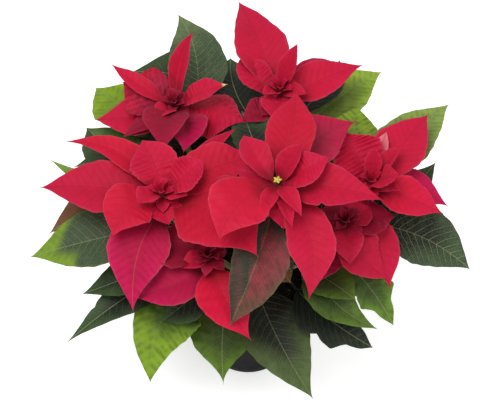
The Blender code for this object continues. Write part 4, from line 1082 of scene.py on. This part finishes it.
# Shoots
SHOOT_SIDES = 18
SHOOT_STATIONS = 70
SHOOT_FOOT_COLOUR = (116, 104, 66)
SHOOT_COLOUR = (96, 122, 58)
SHOOT_TOP_COLOUR = (120, 96, 62)
JOINT_SWELL = 0.35 * MM
HUB_COLOUR = (92, 44, 36)
# Young bracts about the tip of a head, in millimetres and radians.
CRUMPLES = 9
CRUMPLE_TURN = 2.4
CRUMPLE_REACH = 17
CRUMPLE_HEIGHT = 14
# Heads whose young bracts take the darker red of painted shade.
CRUMPLE_LOOKS = {"f": "wine", "g": "wine", "d": "wine", "e": "crimson"}
SKIRTS = 6
SKIRT_REACH = 19
SKIRT_DROP = 5


def fine_tube(gather, path, radii, colours, sides=SHOOT_SIDES):
    points, faces = tube(path, radii, sides)
    gather.add(points, faces, np.repeat(colours, sides, axis=0))


def fine_path(path, stations):
    return smooth_through(np.linspace(0, 1, len(path)), path, np.linspace(0, 1, stations))


def build_shoot(gather, path, leaves):
    """A shoot that swells a little where each leaf leaves it."""
    shares = np.linspace(0, 1, SHOOT_STATIONS)
    radii = STEM_RADIUS + (HUB_RADIUS - STEM_RADIUS) * shares
    line = fine_path(path, SHOOT_STATIONS)
    for blade in leaves:
        near = shares[np.argmin(np.linalg.norm(line - blade.root, axis=1))]
        radii = radii + JOINT_SWELL * np.exp(-(((shares - near) / 0.02) ** 2))
    colours = mix(srgb(SHOOT_FOOT_COLOUR), srgb(SHOOT_COLOUR), smooth(0.05, 0.4, shares))
    colours = mix(colours, srgb(SHOOT_TOP_COLOUR), smooth(0.75, 1.0, shares))
    fine_tube(gather, line, radii, colours)


def build_hub(gather, head):
    """The short stalk of a head, rounded at its top."""
    path = fine_path(hub_path(head), 14)
    radii = np.full(14, HUB_RADIUS)
    radii[-3:] = HUB_RADIUS * np.array([0.92, 0.75, 0.45])
    fine_tube(gather, path, radii, np.tile(srgb(HUB_COLOUR), (14, 1)))


def add_crumples(gather, head, paths):
    """Young bracts, small and crumpled, that stand close about the tip of a head without open buds."""
    rng = np.random.default_rng(ord(head))
    top = head_top(head) / MM
    for index in range(CRUMPLES):
        angle = CRUMPLE_TURN * index + rng.uniform(-0.3, 0.3)
        share = (index + 1) / CRUMPLES
        reach = CRUMPLE_REACH * (0.35 + 0.65 * share)
        height = CRUMPLE_HEIGHT * (1.15 - 0.75 * share)
        tip = top + (reach * math.cos(angle), reach * math.sin(angle), height)
        width = 7 + 5 * share + rng.uniform(-1, 1)
        row = (f"crumple_{head}{index}", head, *tip, width, 0.55, 0.16, rng.uniform(-0.1, 0.1), 0, 28, 1 + 4 * share, "small")
        gather.add(*FineBlade(Blade(row, paths)).mesh())
    for index in range(SKIRTS):
        angle = 2 * math.pi * (index + rng.uniform(-0.15, 0.15)) / SKIRTS - math.pi / 2
        tip = top + (SKIRT_REACH * math.cos(angle), SKIRT_REACH * math.sin(angle), -SKIRT_DROP)
        row = (f"crumple_{head}{CRUMPLES + index}", head, *tip, rng.uniform(12, 15), 0.5, 0.2, 0, 0, 12, 7, "small")
        gather.add(*FineBlade(Blade(row, paths)).mesh())


def fine_ball(centre, radius, stretch, axis):
    made = bmesh.new()
    bmesh.ops.create_icosphere(made, subdivisions=3, radius=radius)
    points = np.array([vert.co for vert in made.verts])
    faces = [tuple(vert.index for vert in face.verts) for face in made.faces]
    made.free()
    lengths = points @ axis
    return points + np.outer(lengths, axis) * (stretch - 1) + centre, faces, lengths / radius


def add_bud(gather, centre, radius, axis, out):
    """An egg-shaped green bud, redder at its mouth, with one yellow lip at its side."""
    points, faces, height = fine_ball(centre, radius, BUD_STRETCH, axis)
    colours = mix(srgb((120, 150, 50)), srgb((196, 206, 84)), smooth(-0.4, 0.5, height))
    colours = mix(colours, srgb((190, 70, 50)), smooth(0.86, 1.0, height))
    gather.add(points, faces, colours)
    lip, lip_faces, _ = fine_ball(centre + out * radius * 0.95 + axis * radius * 0.5, radius * 0.42, 0.7, axis)
    gather.add(lip, lip_faces, srgb((226, 214, 70)))


def build_buds(head, scale, gather):
    axis = head_axis(head)
    base = head_top(head)
    foot = np.linspace(base, base + axis * BUD_BASE_HEIGHT * scale, 6)
    fine_tube(gather, foot, [BUD_BASE_RADIUS * scale] * 6, np.tile(srgb((130, 146, 60)), (6, 1)))
    middle = base + axis * (BUD_HEIGHT + MIDDLE_BUD_LIFT) * scale
    add_bud(gather, middle, BUD_RADIUS * scale, axis, unit(np.cross(axis, (0, 1, 0))))
    for index in range(BUD_RING):
        angle = 2 * math.pi * index / BUD_RING
        out = np.array([math.cos(angle), math.sin(angle), 0])
        place = base + out * BUD_RING_RADIUS * scale + axis * BUD_HEIGHT * scale
        add_bud(gather, place, RING_BUD_RADIUS * scale, axis, out)


def inner_radius(height):
    """The pot's inside radius at a height."""
    share = height / POT_HEIGHT
    return POT_BASE_RADIUS + (POT_TOP_RADIUS - POT_BASE_RADIUS) * share - POT_WALL


def spin(profile, sides):
    """Points and quads of a closed ring of profile points turned about the pot's axis."""
    points = []
    for radius, height in profile:
        for side in range(sides):
            angle = 2 * math.pi * side / sides
            points.append((radius * math.cos(angle), radius * math.sin(angle), height))
    faces = []
    for ring in range(len(profile) - 1):
        low = ring * sides
        for side in range(sides):
            following = (side + 1) % sides
            faces.append((low + side, low + following, low + sides + following, low + sides + side))
    faces.append(tuple(range(sides - 1, -1, -1)))
    top = (len(profile) - 1) * sides
    faces.append(tuple(top + side for side in range(sides)))
    return points, faces


def build_pot(surface):
    """The pot with its rim band, its rounded lip and its drain holes."""
    slope = (POT_TOP_RADIUS - POT_BASE_RADIUS) / POT_HEIGHT
    rim_foot = POT_HEIGHT - RIM_HEIGHT
    lip_middle = (RIM_RADIUS + inner_radius(POT_HEIGHT)) / 2
    outer = [(POT_BASE_RADIUS - FOOT_BEVEL, 0), (POT_BASE_RADIUS - 0.4 * FOOT_BEVEL, 0.15 * FOOT_BEVEL)]
    outer += [(POT_BASE_RADIUS, FOOT_BEVEL)]
    outer += [(POT_BASE_RADIUS + slope * level, level) for level in np.linspace(FOOT_BEVEL, rim_foot, 12)[1:]]
    rim = [(RIM_RADIUS - RIM_STEP, rim_foot + RIM_STEP), (RIM_RADIUS, rim_foot + 2 * RIM_STEP)]
    rim += [(RIM_RADIUS, POT_HEIGHT - RIM_LIP), (RIM_RADIUS - 0.3 * RIM_LIP, POT_HEIGHT - 0.3 * RIM_LIP)]
    rim += [(RIM_RADIUS - RIM_LIP, POT_HEIGHT), (lip_middle, POT_HEIGHT), (inner_radius(POT_HEIGHT), POT_HEIGHT)]
    inside = [(inner_radius(level), level) for level in np.linspace(POT_HEIGHT, POT_FLOOR, 10)[1:]]
    points, faces = spin(outer + rim + inside, 128)
    gather = Gather()
    gather.add(points, faces, srgb((40, 40, 46)))
    pot = gather.build("nursery_pot", surface)
    for index in range(DRAIN_COUNT):
        angle = 2 * math.pi * index / DRAIN_COUNT + DRAIN_TURN
        place = (DRAIN_CIRCLE * math.cos(angle), DRAIN_CIRCLE * math.sin(angle), 0)
        bpy.ops.mesh.primitive_cylinder_add(vertices=32, radius=DRAIN_RADIUS, depth=4 * POT_FLOOR, location=place)
        cutter = bpy.context.object
        cut = pot.modifiers.new("drain", "BOOLEAN")
        cut.operation = "DIFFERENCE"
        cut.object = cutter
        graph = bpy.context.evaluated_depsgraph_get()
        mesh = bpy.data.meshes.new_from_object(pot.evaluated_get(graph))
        pot.modifiers.clear()
        pot.data = mesh
        bpy.data.objects.remove(cutter, do_unlink=True)
    edge = pot.modifiers.new("crease", "EDGE_SPLIT")
    edge.split_angle = math.radians(38)
    return pot


def build_soil(surface):
    """Peat that fills the pot, with loose crumbs on its top."""
    rng = np.random.default_rng(11)
    floor = POT_FLOOR + GAP
    edge = SOIL_TOP - SOIL_EDGE
    sides = 96
    rings = np.linspace(inner_radius(edge) - 1.2 * MM, TRUNK_HOLE, 26)
    profile = [(inner_radius(floor) - GAP, floor), (inner_radius(edge) - GAP, edge)]
    profile += [(radius, SOIL_TOP) for radius in rings]
    profile += [(TRUNK_HOLE, TRUNK_FOOT - GAP)]
    points, faces = spin(profile, sides)
    points = np.array(points)
    top = slice(2 * sides, (2 + len(rings)) * sides)
    points[top, 2] += rng.uniform(-1.3, 0.9, len(rings) * sides) * MM
    gather = Gather()
    gather.add(points, faces, srgb((34, 30, 28)))
    for _ in range(900):
        reach = math.sqrt(rng.uniform((TRUNK_HOLE + 2 * MM) ** 2, (inner_radius(edge) - 3 * MM) ** 2))
        angle = rng.uniform(0, 2 * math.pi)
        size = rng.uniform(0.7, 2.0) * MM
        axis = unit(rng.normal(size=3))
        centre = np.array([reach * math.cos(angle), reach * math.sin(angle), SOIL_TOP + rng.uniform(-0.6, 0.7) * MM])
        made = bmesh.new()
        bmesh.ops.create_icosphere(made, subdivisions=1, radius=size)
        shape = np.array([vert.co for vert in made.verts]) * rng.uniform(0.7, 1.2, (len(made.verts), 1))
        crumb_faces = [tuple(vert.index for vert in face.verts) for face in made.faces]
        made.free()
        shape = shape + np.outer(shape @ axis, axis) * 0.5
        shade = rng.choice(3, p=(0.62, 0.3, 0.08))
        colour = ((30, 27, 26), (52, 44, 40), (84, 92, 108))[shade]
        gather.add(shape + centre, crumb_faces, srgb(colour))
    return gather.build("peat_bed", surface)


def build_trunk(surface):
    """The short main stem, ringed with leaf scars and cut off at its top."""
    rng = np.random.default_rng(3)
    stations = 60
    levels = np.linspace(TRUNK_FOOT, TRUNK_TOP, stations)
    radii = np.full(stations, TRUNK_RADIUS - 0.3 * MM)
    for scar in rng.uniform(SOIL_TOP, TRUNK_TOP - 4 * MM, 5):
        radii += 0.3 * MM * np.exp(-(((levels - scar) / (1.2 * MM)) ** 2))
    radii[-2:] = (TRUNK_RADIUS - 0.5 * MM, TRUNK_RADIUS - 1.0 * MM)
    path = np.stack([0 * levels, 0 * levels, levels], axis=1)
    shade = smooth(SOIL_TOP, TRUNK_TOP, levels)
    colours = mix(srgb((96, 78, 54)), srgb((128, 116, 74)), shade)
    gather = Gather()
    fine_tube(gather, path, radii, colours, 28)
    return gather.build("main_stem", surface)


def build_plant(materials):
    paths = {head: stem_path(head) for head in HEADS}
    blades = [Blade(row, paths) for row in BRACTS + LEAVES]
    clear_crossings(blades, fixed_pieces(paths))
    made = []
    for head, path in paths.items():
        leaves = [blade for blade in blades if blade.node == f"leafy_stem_{head}"]
        shoot = Gather()
        build_shoot(shoot, path, leaves)
        for blade in leaves:
            shoot.add(*FineBlade(blade).mesh())
        piece = shoot.build(f"shoot_{head}", materials["leaf"])
        made.append((piece, f"leafy_stem_{head}", "leaf_green"))
        crown = Gather()
        build_hub(crown, head)
        for blade in blades:
            if blade.node == f"bracts_{head}":
                crown.add(*FineBlade(blade).mesh())
        if head not in BUD_HEADS:
            add_crumples(crown, head, paths)
        piece = crown.build(f"flower_head_{head}", materials["bract"])
        made.append((piece, f"bracts_{head}", "bract_red"))
    for head in BUD_HEADS:
        cluster = Gather()
        build_buds(head, 0.72, cluster)
        piece = cluster.build(f"flower_buds_{head}", materials["bud"])
        made.append((piece, f"buds_{head}", "bud_yellow"))
    return made


def add_area(name, place, target, size, power):
    light = bpy.data.lights.new(name, "AREA")
    light.shape = "DISK"
    light.size = size
    light.energy = power
    lamp = bpy.data.objects.new(name, light)
    lamp.location = place
    lamp.rotation_euler = (Vector(target) - Vector(place)).to_track_quat("-Z", "Y").to_euler()
    bpy.context.scene.collection.objects.link(lamp)


def set_stage():
    """Pale floor, soft light and the photograph's camera."""
    bpy.ops.mesh.primitive_plane_add(size=30)
    floor = bpy.context.object
    floor.name = "floor"
    n = Nodes("pale_floor")
    n.set(Base_Color=(0.96, 0.96, 0.96, 1), Roughness=0.9, Specular_IOR_Level=0.1)
    # The floor glows a little: painted light that lifts the plant's shadow on it and lights the undersides.
    n.set(Emission_Color=(1, 1, 1, 1), Emission_Strength=0.5)
    floor.data.materials.append(n.material)
    world = bpy.data.worlds.new("studio")
    world.use_nodes = True
    world.node_tree.nodes["Background"].inputs["Color"].default_value = (1, 1, 1, 1)
    world.node_tree.nodes["Background"].inputs["Strength"].default_value = 0.60
    bpy.context.scene.world = world
    add_area("key", (-0.4, -0.3, 1.7), (0, 0, 0.2), 0.9, 16)
    add_area("fill", (0.9, -0.5, 1.0), (0, 0, 0.2), 0.9, 3)
    bpy.context.scene.view_settings.view_transform = "Standard"
    lens = bpy.data.cameras.new("camera")
    lens.lens = LENS
    lens.sensor_width = SENSOR
    camera = bpy.data.objects.new("camera", lens)
    away = Vector((0, -math.cos(VIEW_ELEVATION), math.sin(VIEW_ELEVATION)))
    camera.location = VIEW_TARGET + VIEW_DISTANCE * away
    camera.rotation_euler = (-away).to_track_quat("-Z", "Y").to_euler()
    bpy.context.scene.collection.objects.link(camera)
    bpy.context.scene.camera = camera


def main():
    materials = {
        "leaf": blade_material("leaf", (140, 154, 104), (134, 150, 100), 0.58, 0.22, 0.05, 0.50, 0.0, 0.22),
        "bract": blade_material("bract", (134, 24, 44), (150, 10, 38), 0.36, 0.17, 0.06, 0.62, 0.03, 0.16),
        "bud": bud_material(),
    }
    made = build_plant(materials)
    made.append((build_pot(plastic_material()), "pot", "pot_plastic"))
    made.append((build_soil(peat_material()), "soil", "peat"))
    made.append((build_trunk(bark_material()), "trunk", "bark"))
    for piece, node, slot in made:
        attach(piece, "root")
        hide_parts(node)
    set_stage()


main()
